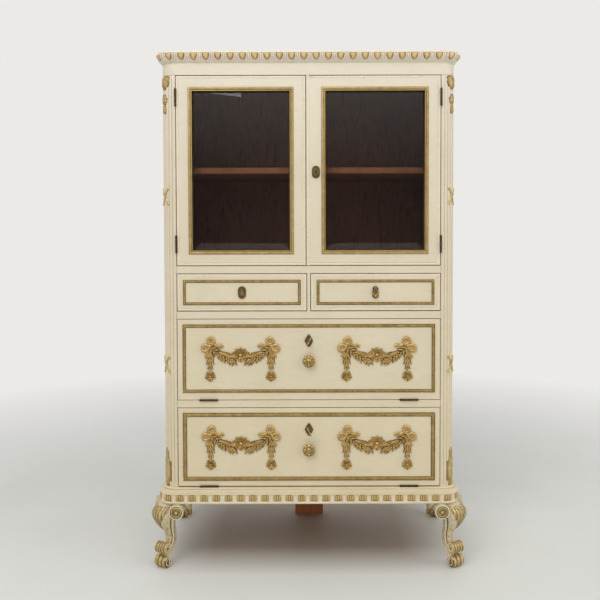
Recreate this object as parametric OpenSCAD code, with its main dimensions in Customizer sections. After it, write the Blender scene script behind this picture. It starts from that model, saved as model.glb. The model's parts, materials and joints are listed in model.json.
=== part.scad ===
// Painted and gilded display cabinet: two glazed doors above two small drawers
// and two fall-front compartments, standing on carved cabriole legs.
// Millimetres. X runs to the right, Y to the back and Z up, and the origin is
// on the floor under the middle of the cabinet.

/* [Case] */
// Width of the case over its side panels
case_w = 884; // [800:1:980]
// Depth of the case from the face of the doors to the back
case_d = 450; // [400:1:540]
// Radius of the rounded corner posts
post_r = 44; // [38:1:52]
// Number of reeds round each corner post
reed_n = 6; // [4:1:8]
// Radius of one reed
reed_r = 6; // [5:0.5:7]
// Thickness of the side panels
side_t = 20; // [16:1:24]
// Thickness of the back panel
back_t = 12; // [6:1:16]
// Thickness of the boards between the compartments, which show as rails
rail_t = 22; // [18:1:26]
// Shut gap round doors, drawers and flaps
gap = 1.7; // [1.2:0.1:2.5]

/* [Heights] */
// Height of the legs, floor to plinth
leg_h = 202; // [180:1:230]
// Height of the plinth moulding
plinth_h = 47; // [42:1:56]
// Height of the lower flap's opening
low_open_h = 243.5; // [200:0.5:280]
// Height of the upper flap's opening
up_open_h = 247.6; // [200:0.1:280]
// Height of the drawers' opening
drawer_open_h = 114.9; // [95:0.1:140]
// Height of the doors' opening
door_open_h = 571; // [500:1:640]
// Height of the frieze board above the doors
frieze_h = 37; // [30:1:50]
// Height of the cornice
cornice_h = 30.4; // [28:0.1:40]
// Width of the strips that the doors and flaps close against
strip_w = 12; // [10:1:16]

/* [Mouldings] */
// How far the cornice stands out from the case
cornice_out = 19; // [12:0.5:24]
// How far the plinth stands out from the case
plinth_out = 27; // [24:1:36]
// Thickness of the top and bottom boards let into the mouldings
end_board_t = 18; // [14:1:20]
// Width of the moulding ring round the top and bottom boards
ring_w = 24; // [20:1:26]
// Distance between the carved tongues of the cornice
cornice_pitch = 36; // [32:0.2:44]
// Width of one carved tongue of the cornice
cornice_tongue_w = 21; // [16:1:28]
// Distance between the carved tongues of the plinth
plinth_pitch = 36; // [32:0.2:44]
// Width of one carved tongue of the plinth
plinth_tongue_w = 22; // [14:1:26]

/* [Legs] */
// How far the knee stands out beyond the plinth
knee_out = 15; // [6:1:18]
// Radius of the knee at its fullest
knee_r = 40; // [34:1:44]
// Radius of the ankle
ankle_r = 17; // [14:0.5:20]
// Distance of the ankle from the post's axis, along the diagonal
ankle_out = 36; // [30:1:42]
// Radius of the scroll rosettes beside the knee
volute_r = 20; // [16:1:22]
// Radius of the upper scroll of the foot
toe_r = 20; // [16:1:22]
// Radius of the lower scroll of the foot
heel_r = 22; // [18:1:24]
// Length of the upper scroll of the foot
toe_l = 40; // [30:1:46]
// Length of the lower scroll of the foot
heel_l = 32; // [24:1:38]
// Distance of the foot's scrolls from the post's axis, along the diagonal
toe_out = 67; // [58:1:72]
// Width of the wooden centre support
support_w = 100; // [80:1:130]
// Thickness of the wooden centre support
support_t = 30; // [20:1:40]

/* [Doors] */
// Distance of the doors' meeting line to the left of the middle
meet_left = 7.25; // [0:0.25:12]
// Thickness of the doors and flaps
door_t = 22; // [20:1:26]
// Width of the doors' stiles
stile_w = 48; // [42:1:56]
// Height of the doors' rails
door_rail_h = 45.6; // [40:0.2:56]
// Width of the bead down the meeting edge of the right door
meet_bead_w = 9.5; // [8:0.5:12]
// Width of the gilt bead round the glass
door_bead_w = 12; // [8:0.5:14]
// Width of the rebate that holds the glass
rebate_w = 8; // [6:0.5:10]
// Depth from the door's face to the glass
glass_in = 10; // [8:0.5:12]
// Thickness of the glass
glass_t = 4; // [3:0.5:5]
// Clearance round the glass in its rebate
glass_play = 1; // [0.5:0.1:2]
// Height of the shelf's top above the display floor
shelf_up = 300; // [200:1:400]
// Thickness of the display shelf
shelf_t = 18; // [14:1:22]
// Distance from the doors' face to the front of the shelf
shelf_in = 56; // [50:1:90]
// Radius of the pegs under the shelf
peg_r = 3; // [2.5:0.5:4]
// How far the pegs stand out of the side panels
peg_l = 12; // [8:1:20]
// Distance of the pegs from the shelf's front and back edges
peg_in = 48; // [30:1:80]

/* [Hinges] */
// Radius of the hinge knuckles
knuckle_r = 3; // [2.5:0.25:3.5]
// Radius of the hinge pins
pin_r = 1.5; // [1.2:0.1:1.8]
// Running clearance round the hinge pins
pin_play = 0.05; // [0.02:0.01:0.08]
// Distance of the hinge pins in front of the case's face
pin_out = 3.3; // [3.2:0.1:4]
// Thickness of the hinge leaves
leaf_t = 1.6; // [1.2:0.1:2]
// Depth of the hinge leaves
leaf_d = 19; // [14:1:22]
// Length of the door hinges
door_hinge_l = 53; // [40:1:70]
// Length of the flap hinges
flap_hinge_l = 56; // [40:1:70]
// Distance of each door hinge from the end of the door
door_hinge_in = 64; // [50:1:100]
// Distance of each flap hinge from the middle of the flap
flap_hinge_x = 303; // [240:1:340]

/* [Drawers] */
// Thickness of the partition between the drawers
divider_t = 9; // [8:1:14]
// Thickness of the drawer fronts
drawer_front_t = 20; // [16:1:24]
// Thickness of the drawer sides and backs
drawer_side_t = 11; // [8:1:14]
// Thickness of the drawer bottoms
drawer_bottom_t = 6; // [4:1:8]
// Distance of a drawer's bottom above the lower edge of its sides
drawer_bottom_up = 6; // [4:1:10]
// Depth of a drawer from its face to its back
drawer_d = 400; // [320:1:420]
// Space between a drawer's sides and what guides them
drawer_play = 2; // [1:0.1:3]
// Height of the guides beside the drawers
guide_h = 38; // [20:1:60]
// Running clearance under the drawer sides
drawer_slide = 0.3; // [0.2:0.1:0.6]
// Space between the top of a drawer's sides and the board above
drawer_top_play = 12; // [6:1:20]
// Distance of the gilt bead from the edge of a drawer front
drawer_bead_in = 17.5; // [14:0.5:24]
// Width of the gilt bead on the drawers
drawer_bead_w = 9; // [7:0.5:12]

/* [Flaps] */
// Distance of the upper flap's bead from its sides and top
up_bead_in = 16; // [12:0.5:24]
// Distance of the upper flap's bead from its lower edge
up_bead_low = 22; // [14:0.5:30]
// Distance of the lower flap's bead from its sides and top
low_bead_in = 15; // [12:0.5:24]
// Distance of the lower flap's bead from its lower edge
low_bead_low = 16.5; // [12:0.5:24]
// Width of the gilt bead on the upper flap
up_bead_w = 9.5; // [7:0.5:12]
// Width of the gilt bead on the lower flap
low_bead_w = 12; // [8:0.5:14]
// Gap under the lower flap, over the plinth
low_gap = 3.6; // [3.5:0.1:5]
// Distance of the knob below the top of a flap
knob_down = 125.5; // [110:0.5:140]
// Diameter of the knobs
knob_d = 39; // [30:1:46]
// How far the knobs stand out
knob_out = 24; // [18:1:30]
// Distance of the keyhole below the top of a flap
key_down = 64; // [56:1:74]
// Distance of a garland's middle from the middle of the flap
garland_x = 206; // [170:1:230]
// Distance of a garland's rosette below the top of its flap
garland_down = 108; // [95:1:120]
// Width of a garland over its bows
garland_w = 250; // [220:1:270]
// Relief of the garlands
garland_t = 9; // [6:0.5:10]

/* [Locks] */
// Width of a flap lock
lock_w = 56; // [44:1:70]
// Width of the door lock
door_lock_w = 26; // [20:1:32]
// Height of the door lock
door_lock_h = 60; // [50:1:80]
// Thickness of a lock case, let into the back of a door or flap
lock_t = 14; // [12:1:16]
// Width of a lock bolt
bolt_w = 18; // [12:1:24]
// Thickness of a lock bolt
bolt_t = 5; // [4:0.5:6]
// Travel of a lock bolt
bolt_travel = 8; // [6:0.5:9]
// Clearance round a lock bolt
bolt_play = 0.3; // [0.2:0.1:0.5]
// Radius of the key's shaft
key_r = 2.4; // [2:0.1:3]
// Running clearance round the key's shaft
key_play = 0.08; // [0.05:0.01:0.1]
// Distance of the key's bow in front of the flap
key_out = 30; // [22:1:36]
// Length of the key's bow across
bow_l = 28; // [20:1:34]
// Turn of the upper key at rest
up_key_turn = 28; // [-90:1:90]
// Turn of the lower key at rest
low_key_turn = -26; // [-90:1:90]

/* [Carving] */
// Relief of the husks and leaves on the posts
carving_t = 6; // [5:0.5:8]
// Length of the largest husk under the frieze
husk_l = 38; // [30:1:44]
// Length of the crossed ribbons
ribbon_l = 58; // [44:1:66]
// Width of the crossed ribbons
ribbon_w = 8; // [6:0.5:12]
// Drop of the middle of the upper ribbons below the frieze
upper_ribbon_drop = 362; // [320:1:400]
// Drop of the middle of the lower ribbons below the frieze
lower_ribbon_drop = 871; // [830:1:910]
// Height of the acanthus leaves at the foot of the posts
leaf_h = 117; // [90:1:140]

/* [Fittings] */
// Height of the right door's escutcheon above the bottom of the door
door_escutcheon_up = 280; // [200:1:360]
// Distance of the right door's escutcheon from the middle of the cabinet
door_escutcheon_x = 22.5; // [14:0.5:30]
// Width of the oval escutcheons
oval_w = 24; // [18:1:30]
// Height of the oval escutcheons
oval_h = 38; // [30:1:46]
// Distance of the drawers' fittings from the middle of the cabinet
drawer_fit_x = 201; // [150:1:250]
// Thickness of the escutcheon plates
plate_t = 2.5; // [1.5:0.5:4]
// Length of the right drawer's hanging pull
pull_l = 32; // [24:1:38]
// Radius of the wire of the hanging pull
pull_r = 2.2; // [1.6:0.1:2.6]
// Half the spread of the hanging pull at its foot
pull_spread = 8; // [6:0.5:10]

/* [Hidden] */
$fn = 48;

cream = "#dccfb4";
gilt = "#a8874a";
bronze = "#4c3d24";
brass = "#9c8448";
raw_wood = "#7a4c26";

// Heights of the levels, from the floor up
plinth_top = leg_h + plinth_h;
middle_z = plinth_top + low_open_h;
upper_z = middle_z + rail_t;
drawer_board_z = upper_z + up_open_h;
drawer_z = drawer_board_z + rail_t;
display_z = drawer_z + drawer_open_h;
door_z = display_z + rail_t;
frieze_z = door_z + door_open_h;
cornice_z = frieze_z + frieze_h;
top_z = cornice_z + cornice_h;
top_board_z = top_z - end_board_t;
bottom_board_z = plinth_top - end_board_t;

// Main planes
half_w = case_w / 2;
open_x = half_w - post_r;
inner_x = half_w - side_t;
ledge = post_r / 1.1;
knee_front = plinth_out + knee_out;
knee_reach = post_r + knee_front;
front_y = -(case_d - knee_front) / 2;
back_y = front_y + case_d;
back_in = back_y - back_t;
post_y = front_y + post_r;
edge_x = open_x - gap;
overshoot = 1;
touch = 0.3;

// Doors
door_low = door_z + gap;
door_high = frieze_z - gap;
left_meet = -meet_left - gap / 2;
right_meet = -meet_left + gap / 2;
bead_proud = 3.5;
lock_y = front_y + door_t - lock_t;
bolt_y = lock_y + lock_t / 2;

// Flaps
low_flap_z = plinth_top + low_gap;
low_flap_top = middle_z - gap;
up_flap_z = upper_z + gap;
up_flap_top = drawer_board_z - gap;
low_axis_z = plinth_top + knuckle_r + touch;
up_axis_z = upper_z + gap / 2;

module box(x0, x1, y0, y1, z0, z1) {
    translate([x0, y0, z0]) cube([x1 - x0, y1 - y0, z1 - z0]);
}

module both_sides() {
    children();
    mirror([1, 0, 0]) children();
}

// A closed skin over a list of rings that all have the same number of points
module loft(rings) {
    n = len(rings[0]);
    m = len(rings);
    side_faces = [for (j = [0:m - 2], i = [0:n - 1], k = [0, 1])
        let (a = j * n + i, b = j * n + (i + 1) % n)
        k == 0 ? [a, a + n, b] : [b, a + n, b + n]];
    polyhedron(
        points = [for (ring = rings, p = ring) p],
        faces = concat(
            [[for (i = [0:n - 1]) i]],
            [[for (i = [n - 1:-1:0]) (m - 1) * n + i]],
            side_faces));
}

// A moulding round the front and sides of the case. The profile's points are
// [distance out from the case, height].
module moulding(profile) {
    translate([-open_x, front_y, 0]) rotate([90, 0, 90])
        linear_extrude(2 * open_x) polygon([for (p = profile) [-p[0], p[1]]]);
    both_sides() {
        translate([half_w, back_y, 0]) rotate([90, 0, 0])
            linear_extrude(back_y - post_y) polygon(profile);
        translate([open_x, post_y, 0]) rotate([0, 0, -90])
            rotate_extrude(angle = 90) polygon([for (p = profile) [post_r + p[0], p[1]]]);
    }
}

// Puts a piece at a distance s along the moulding line that stands out by out,
// from the middle of the front round the right-hand corner. The piece faces -Y.
module along_line(s, out) {
    r = post_r + out;
    arc_l = PI * r / 2;
    if (s <= open_x) {
        translate([s, front_y - out, 0]) children();
    } else if (s < open_x + arc_l) {
        translate([open_x, post_y, 0]) rotate([0, 0, (s - open_x) / r * 180 / PI])
            translate([0, -r, 0]) children();
    } else {
        translate([half_w + out, post_y + s - open_x - arc_l, 0]) rotate([0, 0, 90])
            children();
    }
}

function line_l(out) = open_x + PI * (post_r + out) / 2 + back_y - post_y;

module tongues(pitch, out) {
    both_sides() for (s = [pitch / 2:pitch:line_l(out) - pitch / 2])
        along_line(s, out) children();
}

// A half-round bead round a rectangle in the XZ plane, standing on the plane y
module bead_frame(x0, x1, z0, z1, w, y, proud) {
    r = (w * w / 4 + proud * proud) / (2 * proud);
    module stick(l) {
        intersection() {
            translate([-overshoot, y - proud + r, w / 2]) rotate([0, 90, 0])
                cylinder(r = r, h = l + 2 * overshoot);
            translate([0, y, 0]) rotate([90, 0, 0]) linear_extrude(proud + overshoot)
                polygon([[0, 0], [l, 0], [l - w, w], [w, w]]);
        }
    }
    lx = x1 - x0;
    lz = z1 - z0;
    translate([x0, 0, z0]) stick(lx);
    translate([x1, 0, z1]) rotate([0, 180, 0]) stick(lx);
    translate([x1, 0, z0]) rotate([0, -90, 0]) stick(lz);
    translate([x0, 0, z1]) rotate([0, 90, 0]) stick(lz);
}

// One butt hinge, with its pin on the Z axis. The fixed leaf lies on the -X side
// and the moving leaf on the +X side, and both reach back along +Y.
module hinge(l, fixed_gap, moving_gap, moving) {
    knuckles = 5;
    pitch = l / knuckles;
    side = moving ? 1 : -1;
    inner = moving ? moving_gap : fixed_gap;
    first = moving ? 1 : 0;
    difference() {
        union() {
            for (i = [first:2:knuckles - 1]) translate([0, 0, -l / 2 + i * pitch]) {
                translate([0, 0, touch / 2]) cylinder(r = knuckle_r, h = pitch - touch);
                box(min(side * inner, side * (inner + leaf_t)),
                    max(side * inner, side * (inner + leaf_t)),
                    0, pin_out + 2 * touch, touch / 2, pitch - touch / 2);
                if (!moving && inner > knuckle_r)
                    box(-inner - leaf_t, -pin_r - pin_play, 0, 1.5, touch / 2,
                        pitch - touch / 2);
            }
            box(min(side * inner, side * (inner + leaf_t)),
                max(side * inner, side * (inner + leaf_t)),
                pin_out + touch, pin_out + leaf_d, -l / 2, l / 2);
        }
        if (moving)
            translate([0, 0, -l / 2]) cylinder(r = pin_r + pin_play, h = l);
    }
    if (!moving) translate([0, 0, -l / 2 + touch / 2]) cylinder(r = pin_r, h = l - touch);
}

// The recess that a hinge leaf is let into
module leaf_recess(l, inner, side) {
    box(min(side * (inner - overshoot), side * (inner + leaf_t)),
        max(side * (inner - overshoot), side * (inner + leaf_t)),
        -touch, pin_out + leaf_d, -l / 2, l / 2);
}

module at_door_hinges() {
    for (z = [door_low + door_hinge_in, door_high - door_hinge_in])
        translate([-open_x + gap / 2, front_y - pin_out, z]) children();
}

module at_flap_hinges(axis_z) {
    for (x = [-flap_hinge_x, flap_hinge_x])
        translate([x, front_y - pin_out, axis_z]) rotate([0, -90, 0]) children();
}

// The right-hand side panel, from which the left is mirrored
module side_panel() {
    difference() {
        box(inner_x, half_w, post_y, back_y, plinth_top, frieze_z);
        at_pegs() cylinder(r = peg_r + pin_play, h = side_t / 2);
    }
}

module left_side_panel() {
    color(cream) mirror([1, 0, 0]) side_panel();
}

module right_side_panel() {
    color(cream) side_panel();
}

module back_panel() {
    color(raw_wood) {
        box(-inner_x, inner_x, back_in, back_y, plinth_top, cornice_z);
        box(-half_w + ledge, half_w - ledge, back_in, back_y, cornice_z, top_board_z);
    }
}

// A board with rounded front corners that lies inside a moulding's ring
module end_board(y1, z0) {
    corner_r = post_r - ring_w;
    translate([0, 0, z0]) linear_extrude(end_board_t) union() {
        translate([-half_w + ring_w, post_y]) square([2 * (half_w - ring_w), y1 - post_y]);
        translate([-open_x, front_y + ring_w]) square([2 * open_x, corner_r]);
        for (x = [-open_x, open_x]) translate([x, post_y]) circle(corner_r);
    }
}

module top_board() {
    color(cream) end_board(back_y, top_board_z);
}

module bottom_board() {
    color(raw_wood) end_board(back_y - ring_w, bottom_board_z);
}

// A board right across the case, whose front edge shows between the posts
module cross_board(z) {
    box(-open_x, open_x, front_y, post_y, z, z + rail_t);
    box(-inner_x, inner_x, post_y, back_in, z, z + rail_t);
}

// The mortise in a board's underside that takes a thrown lock bolt
module bolt_mortise(z) {
    mortise = bolt_w / 2 + 2 * bolt_play;
    half_t = bolt_t / 2 + 2 * bolt_play;
    box(-mortise, mortise, bolt_y - half_t, bolt_y + half_t, z - overshoot, z + bolt_travel);
}

module middle_board() {
    color(cream) difference() {
        cross_board(middle_z);
        bolt_mortise(middle_z);
        at_flap_hinges(up_axis_z) leaf_recess(flap_hinge_l, gap / 2, -1);
    }
}

module drawer_board() {
    color(cream) difference() {
        cross_board(drawer_board_z);
        bolt_mortise(drawer_board_z);
    }
}

module display_floor() {
    color(cream) cross_board(display_z);
}

module drawer_divider() {
    color(cream) box(-divider_t / 2, divider_t / 2, front_y, back_in, drawer_z, display_z);
}

// Strips that fill the space between the side panels and the drawers
module drawer_guides() {
    color(raw_wood) both_sides()
        box(open_x, inner_x, post_y, back_in, drawer_z, drawer_z + guide_h);
}

// Strips that the doors and flaps close against
module stop_strips() {
    y0 = front_y + door_t + touch;
    color(raw_wood) {
        for (side = [-1, 1], z = [middle_z - strip_w, drawer_board_z - strip_w])
            translate([side * (open_x - 3 * strip_w), 0, 0])
                box(-2 * strip_w, 2 * strip_w, y0, y0 + strip_w, z, z + strip_w);
        box(-open_x, open_x, y0, y0 + strip_w, door_z, door_z + strip_w / 2);
    }
}

module display_shelf() {
    color(raw_wood) box(-inner_x + touch, inner_x - touch, front_y + shelf_in,
        back_in - touch, door_z + shelf_up - shelf_t, door_z + shelf_up);
}

// Places a peg along +X at each support of the shelf on the right-hand side
module at_pegs() {
    for (y = [front_y + shelf_in + peg_in, back_in - peg_in])
        translate([inner_x, y, door_z + shelf_up - shelf_t - peg_r]) rotate([0, 90, 0])
            children();
}

module shelf_pegs() {
    color(brass) both_sides() at_pegs()
        translate([0, 0, -peg_l]) cylinder(r = peg_r, h = peg_l + side_t / 2 - touch);
}

module frieze() {
    color(cream) moulding([[-side_t, frieze_z], [0, frieze_z], [0, cornice_z],
        [-side_t, cornice_z]]);
}

// The band on which the cornice's tongues stand
cornice_band = cornice_out / 2;
cornice_lip = 5.5;
cornice_foot = 5.5;

module cornice() {
    color(cream) moulding([
        [-ledge, cornice_z], [cornice_out / 5, cornice_z],
        [cornice_band, cornice_z + cornice_foot],
        [cornice_band, top_z - cornice_lip],
        [cornice_out, top_z - cornice_lip], [cornice_out, top_z],
        [-ring_w, top_z], [-ring_w, top_board_z], [-ledge, top_board_z]]);
}

module cornice_tongues() {
    h = cornice_h - cornice_lip - cornice_foot;
    proud = cornice_out - cornice_band;
    color(gilt) tongues(cornice_pitch, cornice_band + touch / 3)
        translate([-cornice_tongue_w / 2, 0, cornice_z + cornice_foot])
            rotate([90, 0, 90]) linear_extrude(cornice_tongue_w)
                polygon([[0, 0], [-proud / 3, 0], [-proud + touch, h - touch],
                    [0, h - touch]]);
}

// The band on which the plinth's tongues stand
plinth_relief = 5;
plinth_band = plinth_out - plinth_relief;
plinth_tongue_h = 20;
plinth_lip = 9;
// How far the plinth's top edge stands out, and the step under its hollow shoulder
plinth_neck = 7;
plinth_step = 3;

module plinth() {
    step_z = leg_h + plinth_lip + plinth_tongue_h + plinth_step;
    hollow = plinth_out - plinth_step - plinth_neck;
    color(cream) difference() {
        union() {
            moulding(concat([
                [-ledge, leg_h], [plinth_out - 1, leg_h], [plinth_out, leg_h + plinth_lip],
                [plinth_band, leg_h + plinth_lip],
                [plinth_band, step_z - plinth_step],
                [plinth_out, step_z - plinth_step], [plinth_out, step_z]],
                [for (a = [0:22.5:90]) [plinth_neck + hollow * (1 - sin(a)),
                    plinth_top - (plinth_top - step_z) * cos(a)]],
                [[-ring_w, plinth_top], [-ring_w, bottom_board_z],
                [-ledge, bottom_board_z]]));
            box(-half_w + ring_w, half_w - ring_w, back_y - ring_w, back_y, leg_h,
                plinth_top);
        }
        at_flap_hinges(low_axis_z) leaf_recess(flap_hinge_l, low_axis_z - plinth_top, -1);
    }
}

module plinth_tongues() {
    proud = plinth_out - plinth_band;
    top_r = plinth_tongue_w / 2;
    color(gilt) tongues(plinth_pitch, plinth_band + touch / 3)
        translate([0, 0, leg_h + plinth_lip + touch]) rotate([90, 0, 0])
            linear_extrude(proud - touch) intersection() {
                translate([-top_r, 0]) square([2 * top_r, plinth_tongue_h - 2 * touch]);
                translate([0, plinth_tongue_h - top_r - touch]) union() {
                    circle(top_r);
                    translate([-top_r, -plinth_tongue_h]) square([2 * top_r, plinth_tongue_h]);
                }
            }
}

// The right-hand corner post, a reeded quarter column
module post_solid() {
    reed_at = post_r - reed_r;
    step = 90 / reed_n;
    translate([open_x, post_y, plinth_top]) linear_extrude(frieze_z - plinth_top)
        intersection() {
            union() {
                polygon(concat([[0, 0], [0, -reed_at]],
                    [for (i = [0.5:reed_n]) [reed_at * sin(i * step), -reed_at * cos(i * step)]],
                    [[reed_at, 0]]));
                for (i = [0.5:reed_n]) rotate(i * step) translate([0, -reed_at])
                    circle(reed_r);
            }
            translate([0, -post_r]) square(post_r);
        }
}

module post() {
    difference() {
        post_solid();
        mirror([1, 0, 0]) at_door_hinges() leaf_recess(door_hinge_l, gap / 2, -1);
    }
}

module left_post() {
    color(cream) mirror([1, 0, 0]) post();
}

module right_post() {
    color(cream) post();
}

// How far round the corner, from the front, the carving on the posts is centred
carving_turn = 54;

// A skin that hugs the post, cut to an outline drawn about the carving's middle line
module on_post(thick) {
    difference() {
        intersection() {
            translate([open_x, post_y, plinth_top])
                cylinder(r = post_r + thick, h = frieze_z - plinth_top);
            translate([open_x, post_y, 0]) rotate([90, 0, carving_turn])
                linear_extrude(2 * post_r) children();
        }
        post_solid();
        translate([open_x, post_y, plinth_top - overshoot])
            cylinder(r = post_r - reed_r * 0.63, h = frieze_z - plinth_top + 2 * overshoot);
    }
}

// Drop below the frieze, length and half the width of each husk, in shares of the
// largest husk's length
husk_sizes = [[0.03, 1, 0.55], [1.34, 0.8, 0.38], [2.34, 0.53, 0.24]];

module post_ornaments() {
    color(gilt) both_sides() {
        on_post(carving_t) for (husk = husk_sizes * husk_l) translate([0, frieze_z - husk[0]])
            polygon([[-husk[2], 0], [-husk[2] * 0.8, -husk[1] * 0.6], [0, -husk[1]],
                [husk[2] * 0.8, -husk[1] * 0.6], [husk[2], 0]]);
        on_post(carving_t * 2 / 3) for (drop = [upper_ribbon_drop, lower_ribbon_drop])
            translate([0, frieze_z - drop]) for (lean = [-36, 36]) rotate(lean)
                square([ribbon_w, ribbon_l], center = true);
        on_post(carving_t) translate([0, plinth_top]) polygon(leaf_h *
            [[-0.16, 0], [-0.18, 0.2], [-0.14, 0.3], [-0.15, 0.5], [-0.09, 0.6],
            [-0.08, 0.8], [0, 1], [0.08, 0.8], [0.09, 0.6], [0.15, 0.5], [0.14, 0.3],
            [0.18, 0.2], [0.16, 0]]);
    }
}

// One ring of the leg, around a centre out along the diagonal
function leg_ring(z, out, deep, wide) = [for (i = [0:23]) let (a = i * 15,
    u = out + deep * cos(a), v = wide * sin(a)) [(u + v) / sqrt(2), (v - u) / sqrt(2), z]];

// The front right leg, about the axis of its corner post, given how far the
// plinth stands out from that axis on the leg's -Y side
module leg(plinth_reach) {
    knee_at = (knee_reach - knee_r) * sqrt(2);
    loft([
        leg_ring(0, toe_out - 10, 18, 13),
        leg_ring(heel_r, toe_out - 14, 20, 14),
        leg_ring(2 * heel_r, ankle_out + 12, 20, 15),
        leg_ring(leg_h * 0.36, ankle_out + 2, ankle_r + 2, ankle_r - 1),
        leg_ring(leg_h * 0.46, ankle_out, ankle_r, ankle_r - 1),
        leg_ring(leg_h * 0.56, ankle_out + 4, ankle_r + 3, ankle_r + 1),
        leg_ring(leg_h * 0.67, knee_at - 16, knee_r * 0.65, knee_r * 0.6),
        leg_ring(leg_h * 0.78, knee_at - 7, knee_r * 0.85, knee_r * 0.8),
        leg_ring(leg_h * 0.88, knee_at - 1, knee_r * 0.98, knee_r * 0.96),
        leg_ring(leg_h * 0.94, knee_at, knee_r, knee_r),
        leg_ring(leg_h, knee_at - 4, knee_r * 0.95, knee_r * 0.95)]);
    rosette(plinth_reach);
    mirror([1, 1, 0]) rosette(post_r + plinth_out + touch);
    translate([(toe_out + 1) / sqrt(2), -(toe_out + 1) / sqrt(2), 2 * heel_r + toe_r + 3])
        rotate([90, 0, -45]) cylinder(r = toe_r, h = toe_l, center = true);
    translate([toe_out / sqrt(2), -toe_out / sqrt(2), heel_r])
        rotate([90, 0, -45]) cylinder(r = heel_r, h = heel_l, center = true);
}

// The rosette beside the knee, which rises in front of the plinth's lower edge
module rosette(plinth_reach) {
    difference() {
        translate([0, 1 - knee_reach, leg_h - 13]) rotate([-90, 0, 0])
            cylinder(r = volute_r, h = knee_reach - volute_r - 4);
        box(-2 * volute_r, 2 * volute_r, -plinth_reach, post_r, leg_h, leg_h + volute_r);
    }
}

module front_leg() {
    translate([open_x, post_y, 0]) leg(post_r + plinth_out + touch);
}

module front_right_leg() {
    color(cream) front_leg();
}

module front_left_leg() {
    color(cream) mirror([1, 0, 0]) front_leg();
}

module rear_leg() {
    translate([open_x, back_y - knee_reach, 0]) mirror([0, 1, 0]) leg(knee_reach);
}

module rear_right_leg() {
    color(cream) rear_leg();
}

module rear_left_leg() {
    color(cream) mirror([1, 0, 0]) rear_leg();
}

module centre_support() {
    color(raw_wood) box(-support_w / 2, support_w / 2, back_y - support_t, back_y, 0,
        leg_h);
}

module fixed_hinge_leaves() {
    color(bronze) {
        both_sides() at_door_hinges() hinge(door_hinge_l, gap / 2, gap / 2, false);
        at_flap_hinges(up_axis_z) hinge(flap_hinge_l, gap / 2, gap / 2, false);
        at_flap_hinges(low_axis_z) hinge(flap_hinge_l, low_axis_z - plinth_top,
            low_flap_z - low_axis_z, false);
    }
}

// The stiles, rails, glass and bead of a door, given its two edges and the
// sight edges of its glass
module stile_pair(x0, x1, sight0, sight1) {
    difference() {
        union() {
            box(x0, sight0, front_y, front_y + door_t, door_low, door_high);
            box(sight1, x1, front_y, front_y + door_t, door_low, door_high);
        }
        rebate(sight0, sight1);
    }
}

module rail_pair(sight0, sight1) {
    difference() {
        union() {
            box(sight0, sight1, front_y, front_y + door_t, door_low,
                door_low + door_rail_h);
            box(sight0, sight1, front_y, front_y + door_t, door_high - door_rail_h,
                door_high);
        }
        rebate(sight0, sight1);
    }
}

module rebate(sight0, sight1) {
    box(sight0 - rebate_w, sight1 + rebate_w, front_y + glass_in,
        front_y + door_t + overshoot, door_low + door_rail_h - rebate_w,
        door_high - door_rail_h + rebate_w);
}

module door_glass(sight0, sight1) {
    reach = rebate_w - glass_play;
    box(sight0 - reach, sight1 + reach, front_y + glass_in, front_y + glass_in + glass_t,
        door_low + door_rail_h - reach, door_high - door_rail_h + reach);
}

// The gilt bead round the front of the glass, and the fillet that holds the glass
// from behind
module door_bead(sight0, sight1) {
    z0 = door_low + door_rail_h;
    z1 = door_high - door_rail_h;
    y0 = front_y + glass_in + glass_t;
    bead_frame(sight0 - door_bead_w, sight1 + door_bead_w, z0 - door_bead_w,
        z1 + door_bead_w, door_bead_w, front_y, bead_proud);
    difference() {
        box(sight0 - rebate_w, sight1 + rebate_w, y0, front_y + door_t, z0 - rebate_w,
            z1 + rebate_w);
        box(sight0, sight1, y0 - overshoot, front_y + door_t + overshoot, z0, z1);
    }
}

left_edge0 = -edge_x;
left_sight0 = left_edge0 + stile_w;
left_sight1 = left_meet - stile_w;
right_edge1 = edge_x;
right_sight0 = right_meet + meet_bead_w + stile_w;
right_sight1 = right_edge1 - stile_w;

module left_door_stiles() {
    color(cream) difference() {
        stile_pair(left_edge0, left_meet, left_sight0, left_sight1);
        at_door_hinges() leaf_recess(door_hinge_l, gap / 2, 1);
    }
}

module left_door_rails() {
    color(cream) rail_pair(left_sight0, left_sight1);
}

module left_door_bead() {
    color(gilt) door_bead(left_sight0, left_sight1);
}

module left_door_glass() {
    color("#5a5046") door_glass(left_sight0, left_sight1);
}

module left_door_hinge_leaves() {
    color(bronze) at_door_hinges() hinge(door_hinge_l, gap / 2, gap / 2, true);
}

// The right door's stiles, with the half-round bead down its meeting edge and
// the keyhole
module right_door_stiles() {
    bead_r = (meet_bead_w * meet_bead_w / 4 + bead_proud * bead_proud) / (2 * bead_proud);
    color(cream) {
        difference() {
            stile_pair(right_meet, right_edge1, right_sight0, right_sight1);
            mirror([1, 0, 0]) at_door_hinges() leaf_recess(door_hinge_l, gap / 2, 1);
            at_door_keyhole() translate([0, 0, -overshoot])
                cylinder(r = key_r + key_play, h = door_t + 2 * overshoot);
            door_lock_case(overshoot);
        }
        intersection() {
            translate([right_meet + meet_bead_w / 2, front_y - bead_proud + bead_r, door_low])
                cylinder(r = bead_r, h = door_high - door_low);
            box(right_meet, right_meet + meet_bead_w, front_y - bead_proud, front_y,
                door_low, door_high);
        }
    }
}

module right_door_rails() {
    color(cream) rail_pair(right_sight0, right_sight1);
}

module right_door_bead() {
    color(gilt) door_bead(right_sight0, right_sight1);
}

module right_door_glass() {
    color("#5a5046") door_glass(right_sight0, right_sight1);
}

module right_door_hinge_leaves() {
    color(bronze) mirror([1, 0, 0]) at_door_hinges()
        hinge(door_hinge_l, gap / 2, gap / 2, true);
}

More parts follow.
